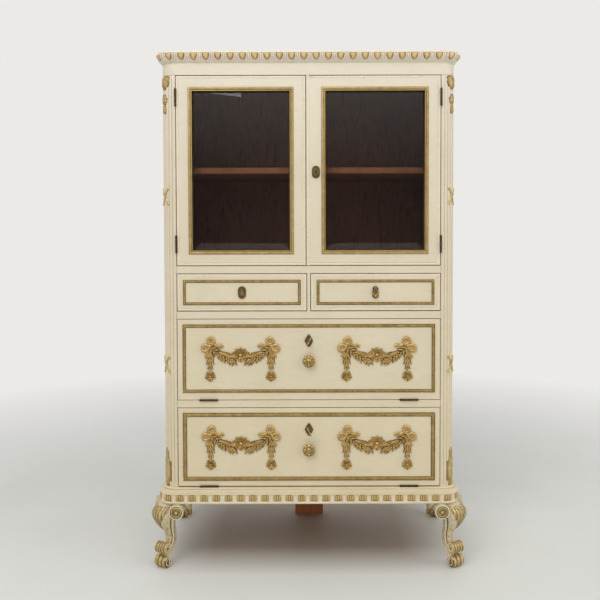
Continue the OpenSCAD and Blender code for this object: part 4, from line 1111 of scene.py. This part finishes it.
def makeGarland():
    g = garlandForm
    parts = []

    def leaf(size, wide, relief, curl=0.0):
        return carvedLeaf(g["leaf"] * size, g["leafWidth"] * wide * size, g["relief"] * relief,
                          3, 12, 9, curl)

    for k in range(g["leafPairs"]):
        t = k / g["leafPairs"]
        x, z, heading = alongSwag(t)
        for side, relief in ((-1, 0.86), (1, 1.0)):
            swing = heading + side * (36 + 5 * math.sin(2.2 * k))
            shape = leaf(0.84 + 0.34 * t, 1.0, relief, 0.1 * side)
            parts.append(shape.spun(swing).moved(x, 0.25 * side, z + 2))
    for k in range(g["berries"]):
        x, z, _ = alongSwag((k + 0.6) / g["berries"])
        berry = dome(3.1 + 0.09 * k, 3.2, 3, 8)
        parts.append(berry.moved(x + 1.5 * math.sin(5.1 * k), 2.2 - g["relief"],
                                 z - 1 + 2.5 * math.cos(3.7 * k)))
    for x, z, turn, size in g["hanging"]:
        parts.append(leaf(size, 1.0, 0.9, 0.06).spun(turn).moved(x, 0.3, z))
    parts += [bowLoop(*one) for one in g["loops"]]
    parts.append(dome(6.2, 7.4).moved(g["knot"][0], 0, g["knot"][1]))
    parts += [ribbon(*one) for one in g["ribbons"]]
    for x, z, turn, size in g["drop"]:
        parts.append(leaf(size, 0.82, 0.82).spun(turn).moved(x, 0.1, z))
    parts.append(ribbon(*g["stem"]))
    parts.append(rose(g["rose"], 7.4).moved(g["roseAt"][0], 0, g["roseAt"][1]))

    half = joined(parts)
    outer, inner = g["petals"]
    rosette = [petal(g["rosette"], 15.0, 7.0).spun(360 / outer * k) for k in range(outer)]
    rosette += [petal(g["rosette"] * 0.68, 10.0, 9.6).spun(360 / inner * k + 22)
                for k in range(inner)]
    rosette += [dome(6.4, 11.4, 5, 16, (0.3, 1.0))]
    centre = joined(rosette).placed(Matrix.Diagonal((1.12, 1.0, 0.94, 1.0)))
    centre = centre.moved(z=g["rosetteZ"])
    return joined([half, half.mirrored(), centre])


flapForm = {"upper": {"inset": 16.0, "bottom": 22.0, "width": 9.5, "garland": 655.0},
            "lower": {"inset": 15.0, "bottom": 16.5, "width": 12.0, "garland": 385.4},
            "garlandX": 206.0, "pearl": 1.25, "pearlPitch": 3.3, "leafFrom": 100.0}


def makeFlapLeaves(side):
    # The two hinge leaves of a flap, out of the fittings that share their node
    sheet = bmesh.new()
    sheet.from_mesh(cad[side + "_flap_fittings"].data)
    bmesh.ops.remove_doubles(sheet, verts=sheet.verts, dist=2e-6)
    near = [v for v in sheet.verts if abs(v.co.x) < flapForm["leafFrom"] * mm]
    bmesh.ops.delete(sheet, geom=near, context="VERTS")
    mesh = bpy.data.meshes.new(side + "FlapLeaves")
    sheet.to_mesh(mesh)
    sheet.free()
    mesh.materials.clear()
    mesh.materials.append(bronze)
    smoothMesh(mesh, 30)
    leaves = newObject(side + "FlapLeaves", mesh)
    carryOn(leaves, body=side + "_flap")


def makeFlaps():
    garland = makeGarland()
    f = flapForm
    for side in ("upper", "lower"):
        own = f[side]
        node = side + "_flap_panel"
        low, high = lowOf(node), highOf(node)
        paintedBoard(node, 0.6)
        makeFlapLeaves(side)
        ring = rectangle(low.x + own["inset"], high.x - own["inset"], low.z + own["bottom"],
                         high.z - own["inset"])
        profile, tones = roundBead(own["width"], beadForm["crown"])
        addPiece(side + "FlapBead", pathSweep(ring, frontY, profile, True, tones), [beadGold],
                 32, [side + "_flap_trim"])
        for x in (-f["garlandX"], f["garlandX"]):
            shape = garland if x < 0 else garland.mirrored()
            addPiece(side + ("Left" if x < 0 else "Right") + "Garland",
                     shape.moved(x, frontY, own["garland"]), [carvedGold], 50,
                     body=side + "_flap")
        # a row of pearls runs round the outside of the bead
        (x0, z0), _, (x1, z1), _ = ring
        path = []
        pearl = f["pearl"]
        for (xa, za), (xb, zb) in zip(ring, ring[1:] + ring[:1]):
            n = int(math.hypot(xb - xa, zb - za) / 10)
            path += [(xa + (xb - xa) * k / n, frontY - 0.5, za + (zb - za) * k / n)
                     for k in range(n)]
        count = int(2 * (x1 - x0 + z1 - z0) / f["pearlPitch"])
        row = makeRow(side + "FlapPearls", path, dome(pearl, pearl * 1.5, 3, 7, (0.3, 1.0)),
                      count, beadGold, 38.0)
        carryOn(row, body=side + "_flap")


def makeDrawerBeads():
    for side in ("left", "right"):
        low, high = lowOf(side + "_drawer_front"), highOf(side + "_drawer_front")
        inset, width = beadForm["drawerInset"], beadForm["drawerWidth"]
        ring = rectangle(low.x + inset, high.x - inset, low.z + inset, high.z - inset)
        profile, tones = roundBead(width, beadForm["crown"])
        addPiece(side + "DrawerBead", pathSweep(ring, frontY, profile, True, tones), [beadGold],
                 32, [side + "_drawer_trim"])


# Escutcheons, knobs, keys and the pull

def outlineShape(points, count=48):
    # The same outline with evenly spaced points, turning counter-clockwise seen from -Y
    lengths = [math.dist(points[k], points[(k + 1) % len(points)]) for k in range(len(points))]
    total, made = sum(lengths), []
    for k in range(count):
        left = total * k / count
        for i, step in enumerate(lengths):
            if left <= step:
                a, b = points[i], points[(i + 1) % len(points)]
                share = left / step
                made.append((a[0] + (b[0] - a[0]) * share, a[1] + (b[1] - a[1]) * share))
                break
            left -= step
    return made


def pierced(outline, hole, thick, crown=0.5):
    # A plate with a raised rim and a round keyhole
    start = math.atan2(outline[0][1], outline[0][0])
    ring = [(hole * math.cos(start + a), hole * math.sin(start + a))
            for a in turnOf(len(outline))]

    def between(t, h):
        return [((1 - t) * a[0] + t * b[0], -h, (1 - t) * a[1] + t * b[1])
                for a, b in zip(outline, ring)]

    # share of the way from the outline to the hole, height and tone; the tone makes the rims pale as
    # a painted highlight and the sunk parts dark as painted shade
    levels = [(0.0, -0.6, 0.1), (0.0, thick - 0.5, 0.5), (0.05, thick, 0.95),
              (0.13, thick, 0.95), (0.17, thick - 0.7, 0.15), (0.5, thick - 0.7 + crown, 0.6),
              (0.8, thick - 0.6 + crown, 0.7), (0.9, thick, 0.9), (0.97, thick - 0.2, 0.7),
              (1.0, thick - 0.8, 0.2), (1.0, -0.6, 0.0)]
    return closedLoft([between(t, h) for t, h, _ in levels],
                      [tone for _, _, tone in levels for _ in outline])


def capsule(wide, high):
    r, z = wide / 2, high / 2 - wide / 2
    return [(r * math.cos(math.radians(a)), side * z + r * math.sin(math.radians(a)))
            for side, start in ((1, 0), (-1, 180)) for a in range(start, start + 181, 18)]


fittings = {
    "kite": [(0, 19), (-4.5, 14), (-8.2, 8), (-13.2, -1), (-8.4, -11), (-4.0, -17),
             (0, -22), (4.0, -17), (8.4, -11), (13.2, -1), (8.2, 8), (4.5, 14)],
    "plate": 2.5, "hole": 2.5, "ovalWide": 24.0, "ovalHigh": 38.0, "drawerHole": 2.4,
    "domedPlate": 3.6, "knobDown": 125.5, "keyDown": 64.0, "keyTurns": (28, -26),
    "keyLong": 30.0, "drawerX": 201.0, "pinRadius": 1.5, "pinHalf": 5.4, "cheek": 4.05,
}


def makeKnob():
    profile = [(10.5, -0.5), (10.5, 1.2), (9.4, 2.0), (8.2, 3.2), (8.0, 6.0), (9.6, 8.2),
               (14.0, 10.2), (17.4, 12.2), (19.2, 14.6), (19.3, 16.4), (17.6, 18.8),
               (14.0, 20.6), (10.4, 21.2), (9.2, 20.4), (7.2, 21.2), (5.8, 22.8), (3.4, 23.8),
               (0.05, 24.0)]

    def wave(r, h, a):
        if r < 9.0 or h < 9.0:
            return r, h
        lobe = abs(math.cos(4 * a)) ** 0.6
        return r * (0.9 + 0.1 * lobe), h * (0.95 + 0.05 * lobe)

    # The lobes are toned pale and the groove dark: painted highlight and painted shade
    tones = []
    for r, h in profile:
        groove = 19.5 < h < 21 and r < 12
        tones.append([0.25 + 0.6 * abs(math.cos(4 * a)) ** 0.6 if r > 9 and h > 9
                      else (0.1 if groove else 0.75) for a in turnOf(64)])
    return lathe(profile, 64, wave, tones)


def makeKey(turn, z):
    # A round shaft with a ring on both sides and a bit, seen almost edge-on
    bowY = frontY - fittings["keyLong"]
    rings = [[(r * math.cos(a), y, r * math.sin(a)) for a in turnOf(20)]
             for y, r in ((bowY, 2.0), (bowY + 1.5, 2.9), (bowY + 3.2, 2.0), (bowY + 4.4, 2.35),
                          (frontY + 17.2, 2.35))]
    parts = [loft(rings)]
    for side in (-1, 1):
        path = [(0.0, bowY + 7.2 * math.sin(a) * 1.12, side * 6.6 + 6.4 * math.cos(a))
                for a in turnOf(28)]
        parts.append(tube(path, 1.75, tone=0.7, normal=(1, 0, 0), closed=True))
    parts.append(boxShape(-1.1, 1.1, frontY + 12.8, frontY + 17.2, 0.0, 10.2))
    return joined(parts).spun(turn).moved(0, 0, z)


def makeFlapFittings():
    f = fittings
    knob = makeKnob()
    kite = pierced(outlineShape(f["kite"]), f["hole"], f["plate"])
    for side, turn in zip(("upper", "lower"), f["keyTurns"]):
        high = highOf(side + "_flap_panel").z
        knobZ, keyZ = high - f["knobDown"], high - f["keyDown"]
        addPiece(side + "Knob", knob.moved(0, frontY, knobZ), [brass], 30,
                 [side + "_flap_fittings"])
        addPiece(side + "Kite", kite.moved(0, frontY, keyZ), [bronze], 30, body=side + "_flap")
        addPiece(side + "Key", makeKey(turn, keyZ), [brass], 40, [side + "_flap_key"])


def makePlates():
    # The door's oval; a domed oval on the left drawer; a pear with two cheeks and a pin for
    # the pull on the right one
    f = fittings
    outline = capsule(f["ovalWide"], f["ovalHigh"])
    drawerX = f["drawerX"]
    drawerZ = (lowOf("left_drawer_front").z + highOf("left_drawer_front").z) / 2
    oval = pierced(outlineShape(outline), f["hole"], f["plate"])
    middle = (lowOf("right_door_escutcheon") + highOf("right_door_escutcheon")) / 2
    addPiece("doorOval", oval.moved(middle.x, frontY, middle.z), [bronze], 30,
             ["right_door_escutcheon"])
    domed = pierced(outlineShape(outline), f["drawerHole"], f["domedPlate"], 1.4)
    addPiece("leftDrawerOval", domed.moved(-drawerX, frontY, drawerZ), [bronze], 30,
             body="left_drawer")
    pear = [(x * (0.86 + 0.1 * (z < 0)), z) for x, z in capsule(f["ovalWide"] * 0.84, f["ovalHigh"])]
    backing = pierced(outlineShape(pear), f["drawerHole"], f["plate"])
    pinY, pinZ = pullPin()
    cheeks = [boxShape(s * f["cheek"] - 1.2, s * f["cheek"] + 1.2, pinY - 2.4, frontY - 1.0,
                       pinZ - 2.4, pinZ + 2.4).moved(drawerX) for s in (-1, 1)]
    pin = loft([[(x, pinY + f["pinRadius"] * math.sin(a), pinZ + f["pinRadius"] * math.cos(a))
                 for a in turnOf(16)] for x in (drawerX - f["pinHalf"], drawerX + f["pinHalf"])])
    addPiece("rightDrawerPlate", joined([backing.moved(drawerX, frontY, drawerZ), pin] + cheeks),
             [bronze], 30, body="right_drawer")


def pullPin():
    low, high = lowOf("drawer_pull"), highOf("drawer_pull")
    return (low.y + high.y) / 2, high.z - 2.8


def makePull():
    # An eye on the pin, two curved arms with a flat ball at each end, and a larger one below
    eye = [[(x, r * math.sin(a), r * math.cos(a)) for a in turnOf(20)]
           for x, r in ((-2.5, 2.8), (2.5, 2.8), (2.5, 1.62), (-2.5, 1.62))]
    parts = [closedLoft(eye)]
    for side in (-1, 1):
        parts.append(tube([(side * 1.4, 0, -2.4), (side * 2.6, 0, -7), (side * 6.4, 0, -13.5),
                           (side * 6.0, 0, -18.5)], lambda t: 1.7 + 0.5 * t))
        ball = dome(4.2, 2.2, 4, 16).moved(side * 5.2, 0, -19.6)
        parts += [ball, ball.mirrored(1)]
    drop = dome(5.4, 2.2, 4, 18).moved(0, 0, -25.6)
    parts += [drop, drop.mirrored(1)]
    pinY, pinZ = pullPin()
    addPiece("drawerPull", joined(parts).moved(fittings["drawerX"], pinY, pinZ), [brass], 40,
             ["drawer_pull"])


def makeHardware():
    for node in ("fixed_hinge_leaves", "left_door_hinge_leaves", "right_door_hinge_leaves"):
        paintedBoard(node, 0.25, material=bronze)
    for node in ("shelf_pegs", "right_door_lock", "upper_flap_lock", "lower_flap_lock",
                 "upper_flap_bolt", "lower_flap_bolt"):
        paintedBoard(node, 0.25, material=brass)


makeFlaps()
makeDrawerBeads()
makeFlapFittings()
makePlates()
makePull()
makeHardware()
print("fronts: carved and fitted")


# Corner posts: reeded quarter columns with carvings bent round them

postForm = {
    "reeds": 6, "reed": 6.0, "fade": 13.0, "turn": 54.0, "ribbons": (362.0, 871.0),
    "ribbonLong": 58.0, "leaf": 118.0, "leafWide": 58.0,
    # husks: how far below the frieze, length and half width
    "husks": ((0.8, 41.0, 33.0), (54.0, 31.0, 19.0), (88.0, 24.0, 13.5)),
}


def postReach(turn, reeded):
    # Distance of the post's face from its axis at an angle in degrees
    p = postForm
    step = 90 / p["reeds"]
    off = math.radians(turn % step - step / 2)
    seat = postR - p["reed"]
    side = seat * math.sin(off)
    full = seat * math.cos(off) + math.sqrt(max(0.0, p["reed"] ** 2 - side * side))
    return full * reeded + (postR - 1.6) * (1 - reeded)


def postShape():
    # the reeds rise out of a smooth quarter round at both ends
    ends = [(0.0, 0.0), (0.05, 0.0), (2.0, 0.0)]
    ends += [(2 + postForm["fade"] * k / 6, math.sin(math.pi / 12 * k)) for k in range(1, 7)]
    levels = [(plinthTop + z, reeded) for z, reeded in ends]
    levels += [(friezeZ - z, reeded) for z, reeded in ends[::-1]]
    rings, tones = [], []
    for z, reeded in levels:
        ring, tone = [(openX, postY, z)], [0.6]
        for k in range(73):
            a = math.radians(90 * k / 72)
            r = postReach(90 * k / 72 if k < 72 else 89.99, reeded)
            ring.append((openX + r * math.sin(a), postY - r * math.cos(a), z))
            # The valleys between the reeds are toned low, for painted shade
            tone.append(0.74 - 0.55 * reeded * min(1.0, (postR - r) / 2.9) ** 2)
        rings.append(ring[::-1])
        tones.append(tone[::-1])
    return loft(rings, tones, 0.0)


def onPost(shape):
    # Bends a relief drawn on the plane y = 0 round the right post's middle line
    def bend(points):
        turn = math.radians(postForm["turn"]) + points[:, 0] / postR
        reach = postR - 2.4 - points[:, 1]
        return np.stack([openX + reach * np.sin(turn), postY - reach * np.cos(turn),
                         points[:, 2]], axis=1)
    return shape.bent(bend)


def makePosts():
    p = postForm
    post = postShape()
    for side, shape in (("right", post), ("left", post.mirrored())):
        addPiece(side + "Post", shape, [cream], 35, [side + "_post"])
    parts = []
    for drop, length, half in p["husks"]:
        husk = carvedLeaf(length, half * 2, 6.4, 2, 16, 15, sink=3.0)
        hung = husk.spun(180) if drop < 10 else husk.moved(z=-length)
        parts.append(hung.moved(-2.5, -1.6, friezeZ - drop))
        parts.append(dome(half * 0.2, 8.6, 4, 10).moved(-2.5, 0, friezeZ - drop - length * 0.12))
    half = p["ribbonLong"] / 2
    for drop in p["ribbons"]:
        for lean in (-34, 34):
            across, up = math.sin(math.radians(lean)), math.cos(math.radians(lean))
            path = []
            for k in range(17):
                t = 2 * k / 16 - 1
                wave = 2.4 * math.sin(math.pi * t)
                path.append((half * t * across + wave * up, -2.6 - math.cos(math.pi * t),
                             friezeZ - drop + half * t * up - wave * across))
            parts.append(tube(path, lambda t: 3.2 + 1.6 * abs(2 * t - 1) ** 2, 10, 0.75, 0.72))
        parts.append(dome(5.4, 6.2, 4, 12).moved(z=friezeZ - drop))
    for leaf in (carvedLeaf(p["leaf"], p["leafWide"], 7.2, 5, 44, 21, sink=3.0),
                 carvedLeaf(p["leaf"] * 0.5, p["leafWide"] * 0.5, 8.2, 3, 22, 13, sink=3.0)):
        parts.append(leaf.moved(z=plinthTop + 0.5))
    right = onPost(joined(parts))
    addPiece("postCarvings", joined([right, right.mirrored()]), [postGold], 50,
             ["post_ornaments"])


# Legs: a smooth skin over the rings, with edge rolls, a leaf on the knee, rosettes and
# two scrolls for a foot

legForm = {
    # height, middle's distance from the corner's axis, half depth and half width
    "rings": ((0.0, 50, 9, 8), (22, 50, 10, 9), (44, 47, 12, 11), (60, 41, 15.5, 14),
              (76, 37, 17, 15.6), (93, 36.5, 17.3, 16.5), (108, 39.5, 18.5, 18),
              (122, 45, 21.5, 21), (134, 50.5, 26.5, 26), (150, 56, 31, 31),
              (162, 58, 34.8, 34.4), (172, 58.5, 36.3, 36.3), (182, 56.5, 35, 35.5),
              (190, 52, 31, 33), (197, 47, 26, 30), (205, 44, 23, 28)),
    "leafTop": 197.0, "leafLong": 77.0, "leafTurn": 1.2, "rosette": 22.0, "rosetteZ": 186.0,
    "rosetteDeep": 46.0, "sideIn": 12.0, "scrollTurn": -60.0,
    # scrolls of the foot: outwards, forwards, height, radius, half length and reeds
    "toe": (47.0, 46.0, 64.0, 17.3, 20.0, 4), "heel": (49.0, 34.0, 18.8, 18.8, 21.5, 3),
}


def smoothRings(steps=84):
    # Rings at even heights through the given ones, by Catmull-Rom
    given = np.array(legForm["rings"], float)
    made = []
    for k in range(steps + 1):
        z = given[0, 0] + (given[-1, 0] - given[0, 0]) * k / steps
        i = min(len(given) - 2, int(np.searchsorted(given[:, 0], z, side="right")) - 1)
        p1, p2 = given[i], given[i + 1]
        p0, p3 = given[max(i - 1, 0)], given[min(i + 2, len(given) - 1)]
        h = p2[0] - p1[0]
        m1 = (p2 - p0) / (p2[0] - p0[0]) * h
        m2 = (p3 - p1) / (p3[0] - p1[0]) * h
        t = (z - p1[0]) / h
        made.append((2 * t ** 3 - 3 * t ** 2 + 1) * p1 + (t ** 3 - 2 * t ** 2 + t) * m1
                    + (3 * t ** 2 - 2 * t ** 3) * p2 + (t ** 3 - t ** 2) * m2)
        made[-1][0] = z
    return made


def legSkin():
    sides = 120
    rings, tones, gilts = [], [], []
    for z, out, deep, wide in smoothRings():
        ring, tone, gilt = [], [], []
        for a in turnOf(sides):
            a = a - 2 * math.pi if a > math.pi else a
            lift, shade, gold = legRelief(a, z)
            u = out + (deep + lift) * math.cos(a)
            v = (wide + lift) * math.sin(a)
            ring.append((openX + (u + v) / math.sqrt(2), postY + (v - u) / math.sqrt(2), z))
            tone.append(shade)
            gilt.append(gold)
        rings.append(ring)
        tones.append(tone)
        gilts.append(gilt)
    return loft(rings, tones, gilts)


def legRelief(a, z):
    # How far the carving stands out at a place on the leg, with its two marks; the tone paints shade
    # in the hollows and highlights on the ribs
    f = legForm
    lift, tone, gilt = -0.6, 0.62, 0.0
    off = abs(a)
    stem = min(1.0, max(0.0, (z - 40) / 20)) * min(1.0, max(0.0, (150 - z) / 30))
    down = (f["leafTop"] - z) / f["leafLong"]
    if 0.0 <= down <= 1.0:
        scallop = 0.86 + 0.14 * abs(math.sin(math.pi * 3 * down)) ** 0.7
        half = f["leafTurn"] * (1 - down ** 1.4) ** 1.1 * scallop
        if off < half:
            rib = 0.5 + 0.5 * math.cos(off / 0.27 * 2 * math.pi)
            rim = max(0.0, 1 - (half - off) / 0.08)
            lift = 1.7 + 1.5 * rib * (1 - 0.4 * down) - 1.2 * rim
            tone, gilt = 0.28 + 0.55 * rib - 0.2 * rim, 0.6 + 0.4 * down
        elif off < half + 0.05:
            lift, tone = -1.2, 0.2
    flank = (168.0 - z) / 38.0
    if 0.0 <= flank <= 1.0 and gilt == 0.0 and lift > -1.0:
        half = 0.3 * math.sin(math.pi * flank) ** 0.6
        if abs(off - 0.86) < half:
            rib = 0.5 + 0.5 * math.cos((off - 0.86) / 0.3 * 3 * math.pi)
            lift, tone, gilt = 0.6 + 1.2 * rib, 0.55 + 0.35 * rib, 0.4
    if gilt == 0.0:
        gilt = 0.4 * stem
    if 66.0 < z < 178.0:
        # A groove and a roll run up both sides of the leg: the groove is toned dark as painted
        # shade, the roll pale as a painted highlight
        ends = min(1.0, (z - 66.0) / 12.0, (178.0 - z) / 12.0)
        edge = off - 1.25 - 0.006 * (z - 108)
        swell = math.sin(math.pi * max(0.0, min(1.0, (edge - 0.07) / 0.38)))
        if abs(edge) < 0.07:
            lift, tone, gilt = -2.0 * ends, 0.6 - 0.6 * ends, 0.8
        elif 0.0 < edge < 0.45:
            lift, tone, gilt = lift + 2.4 * ends * swell, 0.4 + 0.5 * swell, 0.15
        elif 0.0 < edge < 0.56:
            tone, gilt = 0.1, 0.7
    return lift, tone, gilt


def scroll(radius, length, reeds, tones=(0.15, 0.85)):
    # A drum along Y with reeds round it, and a spiral and an eye on both its ends
    half = length / 2
    rings, tone, gilt = [], [], []
    steps = reeds * 8
    for k in range(steps + 1):
        t = -1 + 2 * k / steps
        wave = abs(math.cos(t * reeds * math.pi / 2)) ** 0.8
        r = radius - 2.0 * (1 - wave) - 0.4
        rings.append([(r * math.cos(a), t * (half - 1.2), r * math.sin(a)) for a in turnOf(40)])
        # The reeds' crests are toned pale and the valleys dark: painted highlight and painted shade
        tone.append([tones[0] + (tones[1] - tones[0]) * wave] * 40)
        gilt.append([0.9] * 40)
    parts = [loft(rings, tone, gilt)]
    for end in (-1, 1):
        path = []
        for k in range(64):
            a = 2 * math.pi * 1.6 * k / 63 + 0.6
            r = (radius - 2.2) * (1 - 0.72 * k / 63)
            path.append((r * math.cos(a), end * (half - 1.5), r * math.sin(a)))
        parts.append(tube(path, lambda t: 2.1 - 0.9 * t, 8, 1.0, 0.72, 0.1, (0, end, 0)))
        eye = dome(radius * 0.22, 2.2, 4, 12, (0.1, 0.5)).moved(0, 1.4 - half, 0)
        parts.append(eye if end < 0 else eye.mirrored(1))
    return joined(parts)


def rosetteShape(radius, depth):
    # how far inside the radius, height, tone and gilding; the tone makes the raised rings pale as a
    # painted highlight and the sunk ones dark as painted shade
    rows = ((0.6, -depth, 0.3, 0.0), (0.4, -1.0, 0.5, 0.0), (0.2, -0.2, 0.7, 0.0),
            (1.0, 0.6, 0.8, 0.1), (2.6, 0.9, 0.75, 0.1), (4.2, 0.4, 0.3, 0.6),
            (4.9, -0.9, 0.05, 1.0), (5.7, -1.2, 0.1, 1.0), (6.8, 0.2, 0.8, 1.0),
            (8.6, 0.6, 0.85, 1.0), (10.2, -0.3, 0.4, 1.0), (10.8, -1.3, 0.05, 1.0),
            (11.8, -0.9, 0.2, 0.4), (radius - 5.6, 0.1, 0.2, 0.9), (radius - 3.2, 0.8, 0.8, 0.7),
            (radius - 0.05, 1.0, 0.85, 0.6))
    segments = 40
    return lathe([(radius - inside, height) for inside, height, _, _ in rows], segments, None,
                 [[tone] * segments for _, _, tone, _ in rows],
                 [[gilt] * segments for _, _, _, gilt in rows])


def makeLegs():
    f = legForm
    low, high = lowOf("front_right_leg"), highOf("front_right_leg")
    face = rosetteShape(f["rosette"], f["rosetteDeep"])
    side = face.placed(Matrix.Rotation(math.radians(90), 4, "Z"))
    parts = [legSkin(), face.moved(openX, low.y + 1.0, f["rosetteZ"]),
             side.moved(high.x - f["sideIn"], postY, f["rosetteZ"])]
    for out, ahead, z, radius, half, reeds in (f["toe"], f["heel"]):
        drum = scroll(radius, half * 2, reeds)
        drum = drum.placed(Matrix.Rotation(math.radians(f["scrollTurn"]), 4, "Z"))
        parts.append(drum.moved(openX + out, postY - ahead, z))
    right = joined(parts)
    right.points[:, 2] = np.maximum(right.points[:, 2], 0.0)
    back = right.mirrored(1).moved(y=highOf("rear_right_leg").y + low.y)
    for name, node, shape in (("frontRightLeg", "front_right_leg", right),
                              ("frontLeftLeg", "front_left_leg", right.mirrored()),
                              ("rearRightLeg", "rear_right_leg", back),
                              ("rearLeftLeg", "rear_left_leg", back.mirrored())):
        addPiece(name, shape, [carvedLeg], 40, [node])


makePosts()
makeLegs()
print("posts and legs: made")


# Floor, light and camera

cameraPlace = {"lens": 43.25, "height": 1025.3, "away": 2370.9, "tilt": 1.83, "roll": 0.131,
               "shiftX": -0.01433, "shiftY": -0.07612}
studio = {
    "floor": colour(231, 233, 230), "floorDark": colour(220, 221, 216),
    # shaded and shade are the colour and strength of the painted shadow under the cabinet
    "backdrop": colour(236, 234, 231), "shaded": colour(150, 136, 120), "shade": 0.85,
    "floorSize": 14.0, "floorNear": 1.3, "floorFar": 3.0, "room": 0.57, "dim": 0.14,
    "dimHeight": (0.07, 0.25), "lampsAimAt": (0.0, 0.0, 0.85),
    # lamps: place, size and power
    "lamps": {"front": ((-1.4, -3.2, 3.7), 2.4, 61.0), "above": ((0.3, -1.2, 3.4), 2.8, 16.0),
              "side": ((3.2, -1.6, 1.8), 2.0, 20.0)},
}


def makeFloor():
    size = studio["floorSize"]
    mesh = bpy.data.meshes.new("floor")
    mesh.from_pydata([(-size, -size, 0), (size, -size, 0), (size, size, 0), (-size, size, 0)],
                     [], [(0, 1, 2, 3)])
    floor = newObject("floor", mesh)
    f = Finish("paleFloor")
    shade = f.mix(f.fade(f.noise(1.4, 5.0, 0.6), 0.35, 0.65, (0.0, 0.5)), studio["floor"],
                  studio["floorDark"])
    # A brown painted shadow darkens the floor under the cabinet
    spot = f.node("ShaderNodeSeparateXYZ", Vector=f.place())
    across = f.sum("ABSOLUTE", spot.outputs["X"], 0.0)
    under = f.sum("MULTIPLY", f.fade(across, 0.3, 0.5, (1.0, 0.0)),
                  f.sum("MULTIPLY", f.fade(spot.outputs["Y"], -0.25, -0.05),
                        f.fade(spot.outputs["Y"], 0.25, 0.6, (1.0, 0.0))))
    shade = f.mix(f.sum("MULTIPLY", under, studio["shade"]), shade, studio["shaded"])
    mesh.materials.append(f.show(Base_Color=shade, Roughness=0.6))
    # The floor turns into the pale backdrop some way off, without a line
    reach = f.node("ShaderNodeVectorMath", {"operation": "LENGTH"}).outputs["Value"]
    f.feed(reach.node.inputs[0], f.place())
    rays = f.node("ShaderNodeLightPath").outputs
    seen = f.sum("ADD", f.sum("ADD", rays["Is Camera Ray"], rays["Is Glossy Ray"]),
                 rays["Is Transmission Ray"])
    far = f.sum("MULTIPLY", f.fade(reach, studio["floorNear"], studio["floorFar"]), seen)
    glow = f.node("ShaderNodeEmission", Color=studio["backdrop"], Strength=1.0)
    blend = f.node("ShaderNodeMixShader", Fac=far)
    f.tree.links.new(f.shader.outputs[0], blend.inputs[1])
    f.tree.links.new(glow.outputs[0], blend.inputs[2])
    f.tree.links.new(blend.outputs[0], f.tree.nodes["Material Output"].inputs["Surface"])


def makeRoom():
    # The room is seen as a pale backdrop, and mirrored with a dimmer band near the floor
    world = bpy.data.worlds.new("room")
    bpy.context.scene.world = world
    world.use_nodes = True
    tree = world.node_tree
    new, link = tree.nodes.new, tree.links.new
    light = tree.nodes["Background"]
    light.inputs["Color"].default_value = (1.0, 0.99, 0.97, 1.0)
    light.inputs["Strength"].default_value = studio["room"]
    seen, mirrored = new("ShaderNodeBackground"), new("ShaderNodeBackground")
    seen.inputs["Color"].default_value = studio["backdrop"]
    mirrored.inputs["Color"].default_value = studio["backdrop"]
    height, rise = new("ShaderNodeSeparateXYZ"), new("ShaderNodeMapRange")
    link(new("ShaderNodeTexCoord").outputs["Generated"], height.inputs[0])
    link(height.outputs["Z"], rise.inputs["Value"])
    for key, number in zip(("From Min", "From Max", "To Min", "To Max"),
                           (*studio["dimHeight"], studio["dim"], 1.0)):
        rise.inputs[key].default_value = number
    link(rise.outputs["Result"], mirrored.inputs["Strength"])
    rays, either = new("ShaderNodeLightPath"), new("ShaderNodeMath")
    either.operation, either.use_clamp = "ADD", True
    link(rays.outputs["Is Camera Ray"], either.inputs[0])
    link(rays.outputs["Is Transmission Ray"], either.inputs[1])
    shown, glossy = new("ShaderNodeMixShader"), new("ShaderNodeMixShader")
    link(either.outputs[0], shown.inputs["Fac"])
    link(light.outputs[0], shown.inputs[1])
    link(seen.outputs[0], shown.inputs[2])
    link(rays.outputs["Is Glossy Ray"], glossy.inputs["Fac"])
    link(shown.outputs[0], glossy.inputs[1])
    link(mirrored.outputs[0], glossy.inputs[2])
    link(glossy.outputs[0], tree.nodes["World Output"].inputs["Surface"])


def makeLamps():
    target = Vector(studio["lampsAimAt"])
    for name, (place, wide, power) in studio["lamps"].items():
        lamp = bpy.data.lights.new(name, "AREA")
        lamp.shape, lamp.size, lamp.energy = "SQUARE", wide, power
        spot = newObject(name, lamp)
        spot.location = place
        spot.rotation_euler = (target - Vector(place)).to_track_quat("-Z", "Y").to_euler()


def makeCamera():
    c = cameraPlace
    view = bpy.data.cameras.new("camera")
    view.lens, view.sensor_width, view.sensor_fit = c["lens"], 36.0, "HORIZONTAL"
    view.shift_x, view.shift_y = c["shiftX"], c["shiftY"]
    camera = newObject("camera", view)
    camera.location = (0.0, -c["away"] * mm, c["height"] * mm)
    aim = Matrix.Rotation(math.radians(90 - c["tilt"]), 3, "X")
    camera.rotation_euler = (aim @ Matrix.Rotation(math.radians(-c["roll"]), 3, "Z")).to_euler()
    bpy.context.scene.camera = camera
    bpy.context.scene.view_settings.view_transform = "Standard"


makeFloor()
makeRoom()
makeLamps()
makeCamera()
print("studio: made")

# Every node has a piece; a node that comes to be without one is painted
for node in cad.values():
    if not node.hide_render:
        node.data.materials.clear()
        node.data.materials.append(cream)
